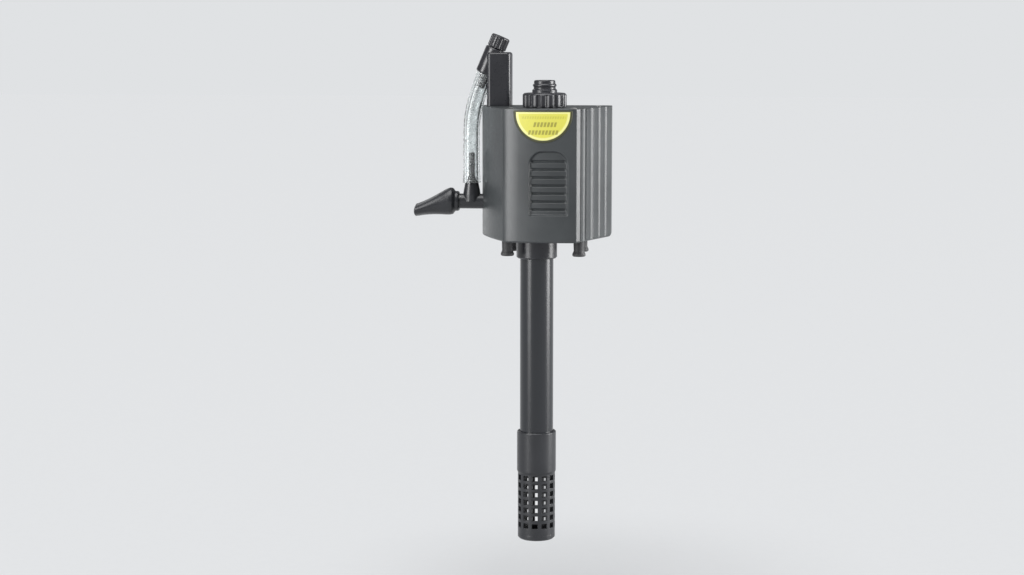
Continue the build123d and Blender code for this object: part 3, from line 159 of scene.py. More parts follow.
def turned(profile, foot, axis=(0, 0, 1), count=64, inward=None):
    """A surface of revolution. A point stands at foot + height * axis + radius * (the direction at its angle).
    inward(angle, radius, height) may take something off each radius, as flutes do."""
    axis = Vector(axis).normalized()
    side = axis.orthogonal().normalized()
    other = axis.cross(side)
    angle = around(count)[None, :]
    radius, height = np.array(profile, float)[:, 0:1], np.array(profile, float)[:, 1:2]
    radius = radius - (0 if inward is None else inward(angle, radius, height)) + 0 * angle
    direction = np.cos(angle)[..., None] * np.array(side) + np.sin(angle)[..., None] * np.array(other)
    points = np.array(foot) + height[..., None] * np.array(axis) + radius[..., None] * direction
    return points.reshape(-1, 3), grid_faces(len(profile), count)


# %% [markdown]
# ## The airline
# A short piece of clear silicone hose, 8 mm outside and 5 mm inside. It is pushed over the barb on the outlet and
# over the tail of the small air valve above. Its line is a smooth spline through free space. The tube is a ring
# carried along that line, with a wall, because a clear hose shows its inside.

# %% Airline
HOSE_RADIUS = 4.0 * MM
HOSE_BORE = 2.5 * MM
HOSE_COUNT = 48
# Over each barb the hose stretches by the swell, which fades along the hose: over 3 mm at its foot, 4 mm at its head.
BARB_SWELL, FOOT_FADE, HEAD_FADE = 0.35 * MM, 3 * MM, 4 * MM
airline_route = [
    (-0.0363, -0.0227, -0.00565),
    (-0.0365, -0.0227, 0.01075),
    (-0.0360, -0.0227, 0.03125),
    (-0.029553, -0.0227, 0.046438),
]
line = bpy.data.curves.new("airline_line", "CURVE")
line.dimensions = "3D"
line.resolution_u = 24
spline = line.splines.new("NURBS")
spline.points.add(len(airline_route) - 1)
spline.points.foreach_set("co", np.c_[np.array(airline_route), np.ones(len(airline_route))].ravel())
spline.order_u = 3
spline.use_endpoint_u = True
guide = bpy.data.objects.new("airline_line", line)
bpy.context.scene.collection.objects.link(guide)
bpy.context.view_layer.update()
traced = bpy.data.meshes.new_from_object(guide)
hose_path = np.empty(len(traced.vertices) * 3)
traced.vertices.foreach_get("co", hose_path)
hose_path = hose_path.reshape(-1, 3)
bpy.data.objects.remove(guide)
bpy.data.meshes.remove(traced)


def carried(path, radius):
    """A ring carried along a path in a plane y = constant. The ring's first direction is +Y. Its second is the cross
    product of the path's direction and +Y, so the ring never twists."""
    along = np.gradient(path, axis=0)
    along /= np.linalg.norm(along, axis=1)[:, None]
    first = np.array([0.0, 1.0, 0.0])
    second = np.cross(along, first)
    second /= np.linalg.norm(second, axis=1)[:, None]
    angle = around(HOSE_COUNT)[None, :, None]
    return path[:, None] + radius[:, None, None] * (np.cos(angle) * first + np.sin(angle) * second[:, None])


step = np.linalg.norm(np.diff(hose_path, axis=0), axis=1)
run = np.concatenate([[0], np.cumsum(step)])
left = run[-1] - run
stretch = BARB_SWELL * (np.exp(-((run / FOOT_FADE) ** 2)) + np.exp(-((left / HEAD_FADE) ** 2)))
# The rings go up the outside, over the end, down the bore and back to the first ring.
outer, inner = carried(hose_path, HOSE_RADIUS + stretch), carried(hose_path, HOSE_BORE + 0 * stretch)
rings = np.concatenate([outer, inner[::-1], outer[:1]])
airline = make_piece(
    "airline", [(rings.reshape(-1, 3), grid_faces(len(rings), HOSE_COUNT))], "housing",
    ["airline_hose"], crisp=50,
)
print("airline line is", round(float(run[-1]) / MM, 1), "mm long")

# %% [markdown]
# ## Shaders as sums
# A finish is a small network of nodes. Writing it as Python sums keeps it readable: a Field stands for a number that
# varies over the surface, and each operator on it adds one Math node. Any other node comes from Finish.node, which
# sets the node's own settings first and then its sockets.


# %% Fields and finishes
class Field:
    """A number that varies over the surface."""

    def __init__(self, finish, socket):
        self.finish, self.socket = finish, socket

    def math(self, operation, *values):
        made = self.finish.node("Math", {"operation": operation}, dict(enumerate(values)))
        return Field(self.finish, made.outputs[0])

    def __add__(self, other):
        return self.math("ADD", self, other)

    def __sub__(self, other):
        return self.math("SUBTRACT", self, other)

    def __rsub__(self, other):
        return self.math("SUBTRACT", other, self)

    def __mul__(self, other):
        return self.math("MULTIPLY", self, other)

    def __pow__(self, other):
        return self.math("POWER", self, other)

    def __mod__(self, other):
        return self.math("FLOORED_MODULO", self, other)

    def sine(self):
        return self.math("SINE", self)

    def most(self, other):
        return self.math("MAXIMUM", self, other)

    def step(self, start, end):
        """0 below start, 1 above end, and a smooth rise between them. With start above end it falls instead."""
        low, high = min(start, end), max(start, end)
        made = self.finish.node(
            "MapRange", {"interpolation_type": "SMOOTHSTEP"}, {"Value": self, "From Min": low, "From Max": high}
        )
        rise = Field(self.finish, made.outputs["Result"])
        return rise if start < end else 1 - rise

    def band(self, start, end, soft):
        """1 between start and end, 0 outside, with soft edges."""
        return self.step(start - soft, start + soft) * self.step(end + soft, end - soft)

    __radd__ = __add__
    __rmul__ = __mul__


class Finish:
    """A material and the nodes in it."""

    def __init__(self, name):
        self.material = bpy.data.materials.new(name)
        self.material.use_nodes = True
        self.tree = self.material.node_tree
        self.tree.nodes.clear()

    def node(self, kind, settings=None, inputs=None):
        """A node of a kind, its settings, then a value or a link for each named or numbered socket."""
        made = self.tree.nodes.new("ShaderNode" + kind)
        for key, value in (settings or {}).items():
            setattr(made, key, value)
        for key, value in (inputs or {}).items():
            socket = made.inputs[key]
            if isinstance(value, Field):
                self.tree.links.new(value.socket, socket)
            elif isinstance(value, bpy.types.NodeSocket):
                self.tree.links.new(value, socket)
            elif socket.type == "RGBA" and len(value) == 3:
                socket.default_value = (*value, 1)
            else:
                socket.default_value = value
        return made

    def spot(self, stretch=(1, 1, 1), shift=(0, 0, 0)):
        """The place on the object, multiplied by stretch and moved by shift."""
        where = self.node("TexCoord").outputs["Object"]
        mapped = self.node("Mapping", None, {"Vector": where, "Scale": stretch, "Location": shift})
        return mapped.outputs["Vector"]

    def axes(self, vector):
        """The three parts of a vector as fields."""
        parts = self.node("SeparateXYZ", None, {0: vector})
        return [Field(self, out) for out in parts.outputs]

    def noise(self, vector, scale, detail=2.0, rough=0.5):
        """Soft random clouds, about as many to the metre as the scale says."""
        made = self.node("TexNoise", None, {"Vector": vector, "Scale": scale, "Detail": detail, "Roughness": rough})
        return Field(self, made.outputs[0])

    def cells(self, vector, scale):
        """The distance to the nearest of randomly strewn points, in cells."""
        made = self.node("TexVoronoi", None, {"Vector": vector, "Scale": scale})
        return Field(self, made.outputs["Distance"])

    def mix(self, share, first, second):
        """The first colour where share is 0 and the second where it is 1."""
        settings = {"data_type": "RGBA", "clamp_factor": True}
        made = self.node("Mix", settings, {0: share, 6: first, 7: second})
        return made.outputs[2]

    def edges(self, radius):
        """The normal as it is with its edges rounded to a radius, and how far it differs from the face's own."""
        rounded = self.node("Bevel", {"samples": 6}, {"Radius": radius}).outputs["Normal"]
        own = self.node("NewGeometry").outputs["Normal"]
        agree = self.node("VectorMath", {"operation": "DOT_PRODUCT"}, {0: rounded, 1: own})
        return rounded, 1 - Field(self, agree.outputs["Value"])

    def relief(self, height, depth, strength=1.0, normal=None):
        """The normal of a surface that stands out by height times depth, in metres."""
        inputs = {"Height": height, "Distance": depth, "Strength": strength}
        if normal is not None:
            inputs["Normal"] = normal
        return self.node("Bump", None, inputs).outputs["Normal"]

    def close(self, **sockets):
        """The surface shader, and the material's output. A socket is named with _ for its spaces."""
        inputs = {name.replace("_", " "): value for name, value in sockets.items()}
        surface = self.node("BsdfPrincipled", None, inputs)
        self.node("OutputMaterial", None, {"Surface": surface.outputs["BSDF"]})
        return self.material


# %% [markdown]
# ## Moulded plastics
# The casing is a satin charcoal plastic. Its mould was spark-eroded, which leaves an even, very fine grain, and the
# grain breaks up the light into broad soft highlights. Rubbed corners are a little paler and smoother. One recipe
# makes all the hard plastics: what differs is the colour, the grain, the gloss and the direction of the flow marks.


# %% Moulded plastic
# How many clouds to the metre: the colour's drift, the flow's streaks and the rubbing of the corners.
DRIFT, STREAK, RUBBING = 45.0, 600.0, 300.0
CORNER_RADIUS = 0.35 * MM


def moulded(name, colour, grain_size, grain_depth, gloss, flow=(1, 1, 1), wear=0.3, cloud=0.12):
    """Colour drifts by a share called cloud. Grain is fine noise in the relief. Roughness is gloss plus a share of the
    two noises. Wear lightens and smooths the corners."""
    finish = Finish(name)
    grain = finish.noise(finish.spot(), 1 / grain_size, detail=3.0, rough=0.6)
    drift = finish.noise(finish.spot(flow), DRIFT, detail=3.0)
    streak = finish.noise(finish.spot(flow, (0.4, 0.1, 0.2)), STREAK, detail=2.0)
    rounded, corner = finish.edges(CORNER_RADIUS)
    rubbed = (corner * 2.2).step(0.1, 0.9) * finish.noise(finish.spot(), RUBBING).step(0.3, 0.6) * wear
    paler = tuple(min(1.0, c * (1 + cloud) + 0.004) for c in colour)
    deeper = tuple(c * (1 - cloud) for c in colour)
    worn = tuple(0.6 * c + 0.07 for c in colour)
    shade = finish.mix(drift.step(0.3, 0.7), deeper, paler)
    shade = finish.mix(grain.step(0.45, 0.75) * 0.25, shade, tuple(c * 1.3 for c in colour))
    shade = finish.mix(rubbed, shade, worn)
    roughness = gloss + (streak - 0.5) * 0.16 + (drift - 0.5) * 0.12 - rubbed * 0.12
    normal = finish.relief(grain, grain_depth, 0.7, rounded)
    normal = finish.relief(streak, 0.03 * MM, 0.25, normal)
    return finish.close(Base_Color=shade, Roughness=roughness, Normal=normal)


casing_finish = moulded("charcoal_casing", (0.030, 0.034, 0.036), 0.28 * MM, 0.04 * MM, 0.36)
cover_finish = moulded("charcoal_cover", (0.023, 0.0262, 0.028), 0.24 * MM, 0.035 * MM, 0.34)
lid_finish = moulded("charcoal_lid", (0.032, 0.036, 0.038), 0.32 * MM, 0.05 * MM, 0.42)
dark_finish = moulded("black_moulding", (0.014, 0.0145, 0.018), 0.4 * MM, 0.02 * MM, 0.30, wear=0.2, cloud=0.15)
nozzle_finish = moulded("grey_nozzle", (0.017, 0.018, 0.021), 0.35 * MM, 0.025 * MM, 0.33, wear=0.25, cloud=0.14)
tube_finish = moulded("drawn_tube", (0.013, 0.0145, 0.0175), 0.5 * MM, 0.015 * MM, 0.24, flow=(1, 1, 0.02), wear=0.2)
strainer_finish = moulded("strainer_moulding", (0.016, 0.017, 0.020), 0.4 * MM, 0.03 * MM, 0.34, wear=0.3)
bracket_finish = moulded("bracket_moulding", (0.024, 0.026, 0.029), 0.35 * MM, 0.04 * MM, 0.38, wear=0.25)
valve_finish = moulded("valve_moulding", (0.012, 0.012, 0.015), 0.3 * MM, 0.02 * MM, 0.28, wear=0.2)
motor_finish = moulded("motor_moulding", (0.12, 0.12, 0.125), 0.3 * MM, 0.04 * MM, 0.45, wear=0.2)
impeller_finish = moulded("impeller_moulding", (0.30, 0.31, 0.32), 0.35 * MM, 0.02 * MM, 0.32, wear=0.1, cloud=0.06)
print("plastics made")

# %% [markdown]
# ## Rubber, steel and the parts inside
# Rubber has no real gloss, only a grey bloom where light grazes it. Stainless screws are turned, so their scratches
# run in rings. Inside there are a sintered magnet, ceramic bearings, a stack of steel sheets, enamelled wire and
# cast resin. They show when the cover slides up, and each has its own scale of detail.


# %% Rubbers
def rubber(name, colour, gloss, bloom):
    """Two noises vary a matt colour: a slow one for handling marks and a fine one for the moulded skin."""
    finish = Finish(name)
    skin = finish.noise(finish.spot(), 3200.0, detail=3.0)
    marks = finish.noise(finish.spot(), 160.0, detail=3.0)
    dusty = tuple(c + 0.025 for c in colour)
    shade = finish.mix(marks.step(0.42, 0.72) * bloom, colour, dusty)
    normal = finish.relief(skin, 0.05 * MM, 0.6)
    return finish.close(
        Base_Color=shade, Roughness=gloss + (marks - 0.5) * 0.2, Normal=normal, Sheen_Weight=0.15, Sheen_Roughness=0.4
    )


foot_finish = rubber("foot_rubber", (0.024, 0.024, 0.026), 0.62, 0.7)
seal_finish = rubber("seal_rubber", (0.02, 0.02, 0.021), 0.55, 0.4)
cup_finish = rubber("cup_rubber", (0.05, 0.052, 0.056), 0.32, 0.5)
print("rubbers made")


# %% Metals
def turned_steel(name, colour, gloss):
    """Two fine noises, one squeezed along y and one along x, stand for the scratches that turning leaves. Their sum
    is the relief."""
    finish = Finish(name)
    fine = finish.noise(finish.spot((1, 8, 1)), 1500.0, detail=4.0)
    cross = finish.noise(finish.spot((8, 1, 1)), 1500.0, detail=4.0)
    stain = finish.noise(finish.spot(), 500.0)
    rounded, corner = finish.edges(0.12 * MM)
    shade = finish.mix(stain.step(0.5, 0.8) * 0.4, colour, tuple(c * 0.7 for c in colour))
    normal = finish.relief(fine + cross, 0.02 * MM, 0.5, rounded)
    return finish.close(Base_Color=shade, Metallic=1.0, Roughness=gloss + fine * 0.15 - corner * 0.1, Normal=normal)


screw_finish = turned_steel("stainless_screw", (0.62, 0.61, 0.59), 0.24)


def layered(name, colour, groove, pitch, along, metallic, gloss, depth):
    """Stripes at a pitch along one axis: the sine of the place over the pitch, as for stacked sheets or wound wire."""
    finish = Finish(name)
    place = finish.axes(finish.spot())[along]
    wave = (place * (2 * np.pi / pitch)).sine() * 0.5 + 0.5
    tint = finish.noise(finish.spot(), 220.0, detail=3.0)
    shade = finish.mix(wave.step(0.0, 0.35), groove, colour)
    shade = finish.mix(tint.step(0.4, 0.7) * 0.3, shade, tuple(c * 0.75 for c in colour))
    normal = finish.relief(wave, depth)
    return finish.close(Base_Color=shade, Metallic=metallic, Roughness=gloss + (tint - 0.5) * 0.15, Normal=normal)


core_finish = layered("stacked_steel", (0.36, 0.36, 0.37), (0.08, 0.08, 0.085), 0.5 * MM, 2, 0.9, 0.4, 0.05 * MM)
wire_finish = layered("enamelled_wire", (0.62, 0.23, 0.09), (0.18, 0.05, 0.02), 0.28 * MM, 0, 0.75, 0.28, 0.09 * MM)
print("metals made")


# %% Castings and ceramics
def cast(name, colour, gloss, pits, size, depth):
    """A smooth casting with pits. Each cell's middle is a pit's floor, and a smooth step of the distance from it is the
    height. Each pit's floor is also painted darker, as painted shade in the hollow."""
    finish = Finish(name)
    pit = finish.cells(finish.spot(), 1 / size).step(0.0, pits)
    cloud = finish.noise(finish.spot(), 260.0, detail=4.0)
    rounded, corner = finish.edges(0.2 * MM)
    shade = finish.mix(cloud.step(0.35, 0.65), tuple(c * 0.88 for c in colour), colour)
    # Painted shade: each pit's floor, at its cell's middle, is painted darker as if shadowed.
    shade = finish.mix(pit, tuple(c * 0.6 for c in colour), shade)
    normal = finish.relief(pit, depth, 0.5, rounded)
    return finish.close(Base_Color=shade, Roughness=gloss + (1 - pit) * 0.2 - corner * 0.05, Normal=normal)


resin_finish = cast("potting_resin", (0.022, 0.022, 0.024), 0.18, 0.16, 2.2 * MM, 0.15 * MM)
magnet_finish = cast("ferrite_magnet", (0.055, 0.055, 0.06), 0.5, 0.35, 0.35 * MM, 0.03 * MM)
ceramic_finish = cast("bearing_ceramic", (0.84, 0.83, 0.79), 0.12, 0.1, 0.6 * MM, 0.01 * MM)
print("castings made")

# %% [markdown]
# ## Clear silicone
# Light goes through the hose's wall and bends at both faces, so the black stem inside it shows. Small bubbles and
# mineral specks mottle it. The wall is real geometry, so the glass-like part of the shader is enough.

# %% Clear hose
hose = Finish("clear_silicone")
bubbles = hose.cells(hose.spot((1, 1, 0.6)), 620.0).step(0.30, 0.16)
film = hose.noise(hose.spot(), 420.0, detail=3.0)
hose_shade = hose.mix(film.step(0.45, 0.7) * 0.6, (0.90, 0.93, 0.93), (0.70, 0.74, 0.75))
hose_shade = hose.mix(bubbles * 0.5, hose_shade, (0.52, 0.56, 0.58))
hose_finish = hose.close(
    Base_Color=hose_shade,
    Roughness=0.10 + film * 0.12 + bubbles * 0.2,
    Transmission_Weight=0.94,
    IOR=1.38,
    Normal=hose.relief(bubbles * 0.4 + film * 0.6, 0.06 * MM, 0.3),
)
airline.data.materials.append(hose_finish)
print("the hose is clear")

# %% [markdown]
# ## The outlet nozzle
# The nozzle turns on the pipe's end. It starts as a round collar, swells to a bulb and then flattens into a duck's
# bill that spreads and droops. Each cross-section is an ellipse, so the whole outside and inside are one surface: a
# list of ellipses from the back, over the lip, and back along the inside.

# %% Duckbill nozzle
OUTLET = (-0.0227, -0.01475)
PIPE_FIT = 3.65
NOZZLE_COUNT = 96


def eased(stops, values, places):
    """Smooth values between stops: a cubic between each stop and the next, which has the value of both and, at both,
    the slope that the stops on either side of them give."""
    stops, values = np.array(stops, float), np.array(values, float)
    slope = np.gradient(values, stops)
    i = np.clip(np.searchsorted(stops, places, side="right") - 1, 0, len(stops) - 2)
    gap = stops[i + 1] - stops[i]
    t = (places - stops[i]) / gap
    return (
        (2 * t**3 - 3 * t**2 + 1) * values[i] + (t**3 - 2 * t**2 + t) * gap * slope[i]
        + (3 * t**2 - 2 * t**3) * values[i + 1] + (t**3 - t**2) * gap * slope[i + 1]
    )


# How far along the nozzle, its half-width, its half-height and its drop below the pipe's axis, in millimetres.
BILL = np.array([
    (42.4, 4.45, 4.45, 0.0), (43.0, 4.75, 4.75, 0.0), (44.4, 5.0, 5.0, 0.0), (45.2, 6.1, 6.1, 0.0),
    (46.4, 6.5, 6.5, 0.05), (48.2, 6.55, 6.3, 0.35), (51.0, 6.6, 5.5, 1.05), (54.9, 7.0, 4.4, 2.15),
    (59.0, 7.6, 3.5, 3.3), (62.6, 8.1, 3.0, 4.3), (63.3, 8.1, 2.85, 4.45), (63.5, 7.8, 2.5, 4.5),
])
BORE = np.array([
    (63.5, 7.1, 1.9, 4.5), (63.2, 6.9, 1.65, 4.42), (59.0, 6.2, 2.3, 3.3), (54.9, 5.2, 3.0, 2.15),
    (51.5, 4.2, 3.5, 1.1), (50.3, PIPE_FIT, PIPE_FIT, 0.0), (42.4, PIPE_FIT, PIPE_FIT, 0.0),
])
# The outside's sections stand close over the collar, wider along the bill and close again over the lip.
COLLAR_BACK, BULB, LIP = BILL[[0, 4, 9], 0]
LIP_PLACES = [62.95, 63.15, 63.3, 63.42, 63.5]
forward = np.concatenate([np.linspace(COLLAR_BACK, BULB, 17), np.linspace(BULB, LIP, 60)[1:], LIP_PLACES])
outside = np.stack([forward, *(eased(BILL[:, 0], BILL[:, k], forward) for k in (1, 2, 3))], axis=1)
loop = np.concatenate([outside, BORE, outside[:1]])
angle = around(NOZZLE_COUNT)[None, :]
bill_points = np.stack(
    [
        -loop[:, 0:1] * MM + 0 * angle,
        OUTLET[0] + loop[:, 1:2] * MM * np.cos(angle),
        OUTLET[1] + (loop[:, 2:3] * np.sin(angle) - loop[:, 3:4]) * MM,
    ],
    axis=-1,
).reshape(-1, 3)
nozzle = make_piece(
    "nozzle_bill", [(bill_points, grid_faces(len(loop), NOZZLE_COUNT))], "nozzle", ["duckbill_nozzle"]
)
nozzle.data.materials.append(nozzle_finish)

# %% [markdown]
# ## The front cover
# The cover is the surface the eye meets first: a crowned panel with rolled creases and an arched, ribbed thumb grip.
# The panel is a closed outline carried upwards. Where the grip lies, each point moves back by a depth that follows
# from its distance to the arch, so every rim of the recess is rounded. The T-shaped tongues behind it run in the
# posts' slots.

# %% Front cover
PANEL_HALF = 18.3
PANEL_EDGE_Y, PANEL_CROWN, PANEL_BACK_Y = -55.0, 1.8, -52.6
PANEL_HALF_DEPTH = (PANEL_BACK_Y - PANEL_EDGE_Y + PANEL_CROWN) / 2
PANEL_BACK_INSET, FOOT_ROUND, HEAD_ROUND = 0.2, 0.8, 0.4
ROLL_WIDTH, ROLL_DEPTH = 8.0, 2.1
FACET = [(15.6, None), (16.5, None), (18.15, -53.25), (18.3, -52.9)]
FACET_ROUND = 0.4
CASE_HALF = 31.25
GRIP_X, GRIP_HALF, GRIP_LOW, GRIP_HIGH = 3.5, 9.15, -18.75, 11.85
GRIP_CORNER, GRIP_DEPTH, GRIP_RIM = 6.5, 1.3, 0.45
GROOVE_FIRST, GROOVE_PITCH, GROOVES = -15.75, 3.76, 7
GROOVE_HALF, GROOVE_REACH, GROOVE_DEPTH = 8.3, 0.85, 0.8


def crown(x):
    """The panel's front: a circle through its two edges and its middle, which stands out by the crown."""
    radius = (PANEL_HALF**2 + PANEL_CROWN**2) / (2 * PANEL_CROWN)
    return PANEL_EDGE_Y - PANEL_CROWN + radius - np.sqrt(radius**2 - x**2)


def smooth(value, start, end):
    """0 before start, 1 after end, and 3t² - 2t³ between them."""
    t = np.clip((value - start) / (end - start), 0, 1)
    return t * t * (3 - 2 * t)


def arch_distance(x, z):
    """How far a point lies outside the arch, negative inside: the distance to a box whose corners are rounded, by the
    arch's corner radius above the middle and by a small one below it."""
    corner = np.where(z > (GRIP_LOW + GRIP_HIGH) / 2, GRIP_CORNER, 1.0)
    across = np.abs(x - GRIP_X) - GRIP_HALF + corner
    tall = np.abs(z - (GRIP_LOW + GRIP_HIGH) / 2) - (GRIP_HIGH - GRIP_LOW) / 2 + corner
    outside = np.hypot(np.maximum(across, 0), np.maximum(tall, 0))
    return outside + np.minimum(np.maximum(across, tall), 0) - corner


def grip_depth(x, z):
    """The recess falls smoothly within a rim's width inside the arch. Each groove is a smooth trench, as deep as its
    distance from the groove's middle line allows."""
    recess = GRIP_DEPTH * smooth(-arch_distance(x, z), 0.0, 2 * GRIP_RIM)
    row = np.clip(np.round((z - GROOVE_FIRST) / GROOVE_PITCH), 0, GROOVES - 1)
    rise = z - GROOVE_FIRST - row * GROOVE_PITCH
    beyond = np.maximum(np.abs(x - GRIP_X) - GROOVE_HALF + GROOVE_REACH, 0)
    trench = GROOVE_DEPTH * smooth(-np.hypot(rise, beyond), -GROOVE_REACH, -0.1)
    return recess + trench


def front(x):
    """The panel's front with its rolled left edge: to the crown is added a quarter of an ellipse, which starts a
    roll's width from the edge and turns smoothly into the side."""
    share = np.clip((ROLL_WIDTH - PANEL_HALF - x) / ROLL_WIDTH, 0, 1)
    return crown(x) + ROLL_DEPTH * (1 - np.sqrt(1 - share**2))


# The outline runs round the left edge's roll, along the front, down the right edge's flat facet and along the back.
# Its points stand closer over the grip than beside it.
GRIP_LEFT, GRIP_RIGHT = -6.2, 13.2
turn = np.linspace(0, np.pi / 2, 24)[1:]
front_x = np.concatenate([
    -PANEL_HALF + ROLL_WIDTH * (1 - np.sin(turn[::-1])), np.linspace(-PANEL_HALF + ROLL_WIDTH, GRIP_LEFT, 12),
    np.linspace(GRIP_LEFT, GRIP_RIGHT, 75)[1:], np.linspace(GRIP_RIGHT, FACET[0][0], 8)[1:],
])
front_line = np.stack([front_x, front(front_x)], axis=1)
facet = soften([(x, crown(x) if y is None else y) for x, y in FACET], FACET_ROUND)
back_x = PANEL_HALF - PANEL_BACK_INSET
outline = np.concatenate([front_line, facet[1:], [(back_x, PANEL_BACK_Y), (-back_x, PANEL_BACK_Y)]])
is_front = np.arange(len(outline)) < len(front_line)

# Rows below the grip, over it and above it: the first height, the last, and how many. The outline shrinks towards
# its middle over the lowest and the highest few, by quarter circles, which rounds the foot and the head.
BANDS = [(-30.3, -19.4, 16), (-19.2, 12.4, 180), (12.8, 30.7, 24)]
ease = np.linspace(0, np.pi / 2, 6)
levels = np.concatenate([
    -CASE_HALF + FOOT_ROUND * (1 - np.cos(ease)), *(np.linspace(*band) for band in BANDS),
    CASE_HALF - HEAD_ROUND * (1 - np.sin(ease)),
])
plain_rows = len(levels) - 2 * len(ease)
inset = np.concatenate([FOOT_ROUND * (1 - np.sin(ease)), np.zeros(plain_rows), HEAD_ROUND * (1 - np.cos(ease))])
middle = np.array([0.0, (PANEL_BACK_Y + PANEL_EDGE_Y - PANEL_CROWN) / 2])
shrink = 1 - inset[:, None, None] / np.array([PANEL_HALF, PANEL_HALF_DEPTH])
rows = middle + (outline - middle) * shrink
moved_back = np.where(is_front[None], grip_depth(outline[None, :, 0], levels[:, None]), 0)
panel = np.stack([rows[..., 0], rows[..., 1] + moved_back, levels[:, None] + 0 * rows[..., 0]], axis=-1)
foot_row, head_row = panel[:1] * 0 + (0, middle[1], levels[0]), panel[:1] * 0 + (0, middle[1], levels[-1])
panel = np.concatenate([foot_row, panel, head_row])

# %% The cover's tongues
TONGUE_X = 14.4
TEE = np.array([
    (-0.5, -53.1), (0.5, -53.1), (0.5, -50.0), (1.7, -50.0), (1.7, -48.6), (-1.7, -48.6), (-1.7, -50.0), (-0.5, -50.0),
])
TONGUE_LOW, TONGUE_HIGH = -28.45, CASE_HALF - 0.05


def prism(section, low, high):
    """A section carried straight up from low to high, closed at each end by a row of points at its middle."""
    middle = section.mean(axis=0)
    heights = np.array([low, low, high, high])[:, None]
    spread = np.array([0.0, 1.0, 1.0, 0.0])[:, None, None]
    plan = middle + (section - middle)[None] * spread
    points = np.concatenate([plan, heights[:, :, None] + 0 * plan[..., :1]], axis=-1)
    return points.reshape(-1, 3) * MM, grid_faces(4, len(section))


tongues = [prism(TEE + (side * TONGUE_X, 0), TONGUE_LOW, TONGUE_HIGH) for side in (-1, 1)]
cover = make_piece(
    "cover_panel", [(panel.reshape(-1, 3) * MM, grid_faces(len(panel), len(outline))), *tongues], "cover",
    ["front_cover"], crisp=40,
)
cover.data.materials.append(cover_finish)

# %% [markdown]
# ## The label
# A half-round sticker hangs from the panel's top edge. It is a thin sheet with a slightly domed face, and it lies on
# the crown. Its print is drawn from its own flat map: an olive outline, a pale rim, a yellow field, and plain bars
# where a maker would put words.

# %% Label
LABEL_X, LABEL_TOP, LABEL_RADIUS, LABEL_BAND = 1.0, 30.55, 13.8, 1.2
LABEL_THICK, LABEL_EDGE, LABEL_SUNK = 0.28, 0.25, 0.04
LABEL_COLUMNS = 81
# A row's half-width is the half-circle's at its height, and the full radius over the straight band above that. The
# face rises from the edge by the square root of the way in, and the base lies a little inside the panel.
bow = LABEL_RADIUS * np.sin(np.linspace(0, np.pi / 2, 60))[1:]
down = np.concatenate([np.linspace(0, LABEL_BAND, 4), LABEL_BAND + bow])
half = np.sqrt(np.maximum(LABEL_RADIUS**2 - np.maximum(down - LABEL_BAND, 0) ** 2, 0))
across = np.linspace(-1, 1, LABEL_COLUMNS)[None, :]
label_x = half[:, None] * across
label_z = LABEL_TOP - down[:, None] + 0 * across
from_middle = np.hypot(label_x, np.maximum(LABEL_TOP - LABEL_BAND - label_z, 0))
inner_room = np.minimum(LABEL_RADIUS - from_middle, down[:, None])
proud = LABEL_THICK * np.sqrt(np.clip(inner_room / LABEL_EDGE, 0, 1))
face = np.stack([label_x + LABEL_X, front(label_x + LABEL_X) - proud, label_z], axis=-1)
base = np.stack([label_x + LABEL_X, front(label_x + LABEL_X) + LABEL_SUNK, label_z], axis=-1)
flat = np.stack([label_x / (2 * LABEL_RADIUS) + 0.5, 1 - (LABEL_TOP - label_z) / (LABEL_RADIUS + LABEL_BAND)], axis=-1)
sheet = grid_faces(len(down), LABEL_COLUMNS, ring=False)
face_count = len(down) * LABEL_COLUMNS
top_edge = np.arange(LABEL_COLUMNS)
left_edge = np.arange(len(down)) * LABEL_COLUMNS
right_edge = left_edge + LABEL_COLUMNS - 1


def wall(edge):
    """The cells between an edge of the face and the same edge of the base."""
    return np.stack([edge[:-1], edge[1:], edge[1:] + face_count, edge[:-1] + face_count], axis=-1)


label_points = np.concatenate([face.reshape(-1, 3), base.reshape(-1, 3)]) * MM
walls = [wall(edge) for edge in (top_edge, left_edge, right_edge)]
label_faces = np.concatenate([sheet, sheet[:, ::-1] + face_count, *walls])
label = make_piece(
    "label_sticker", [(label_points, label_faces)], "cover", ["front_label"],
    uv=np.concatenate([flat.reshape(-1, 2)] * 2), crisp=60,
)

# %% Label print
# side and depth are the place across and down the half-round, in radii. The bars are bands of depth, cut by gaps that
# repeat along a slanted line.
ink = Finish("label_print")
flat_map = ink.node("UVMap", {"uv_map": "print"}).outputs["UV"]
u, v, _ = ink.axes(flat_map)
side, depth = (u - 0.5) * 2, (1 - v) * ((LABEL_RADIUS + LABEL_BAND) / LABEL_RADIUS) - LABEL_BAND / LABEL_RADIUS
radial = (side * side + depth.most(0.0) * depth.most(0.0)) ** 0.5
outline_ink = radial.step(0.905, 0.925).most(depth.step(-0.030, -0.045))
rim_ink = radial.step(0.82, 0.845).most(depth.step(0.03, 0.01)) * (1 - outline_ink)
slant = side + depth * 0.25
small = depth.band(0.10, 0.19, 0.012) * side.band(-0.74, 0.76, 0.01) * (slant % 0.085).band(0.014, 0.066, 0.008)
gaps = (slant % 0.115).band(0.012, 0.092, 0.008)
upper = depth.band(0.30, 0.46, 0.012) * slant.band(-0.24, 0.55, 0.01) * gaps
lower = depth.band(0.57, 0.72, 0.012) * slant.band(-0.36, 0.68, 0.01) * gaps
fade = ink.noise(ink.spot(), 900.0, detail=3.0)
label_shade = ink.mix(fade.step(0.3, 0.7) * 0.3, (0.47, 0.445, 0.062), (0.41, 0.40, 0.066))
label_shade = ink.mix(rim_ink * 0.7, label_shade, (0.60, 0.59, 0.27))
label_shade = ink.mix(upper.most(lower) * 0.8, label_shade, (0.17, 0.155, 0.02))
label_shade = ink.mix(small * 0.6, label_shade, (0.30, 0.29, 0.04))
label_shade = ink.mix(outline_ink, label_shade, (0.026, 0.027, 0.006))
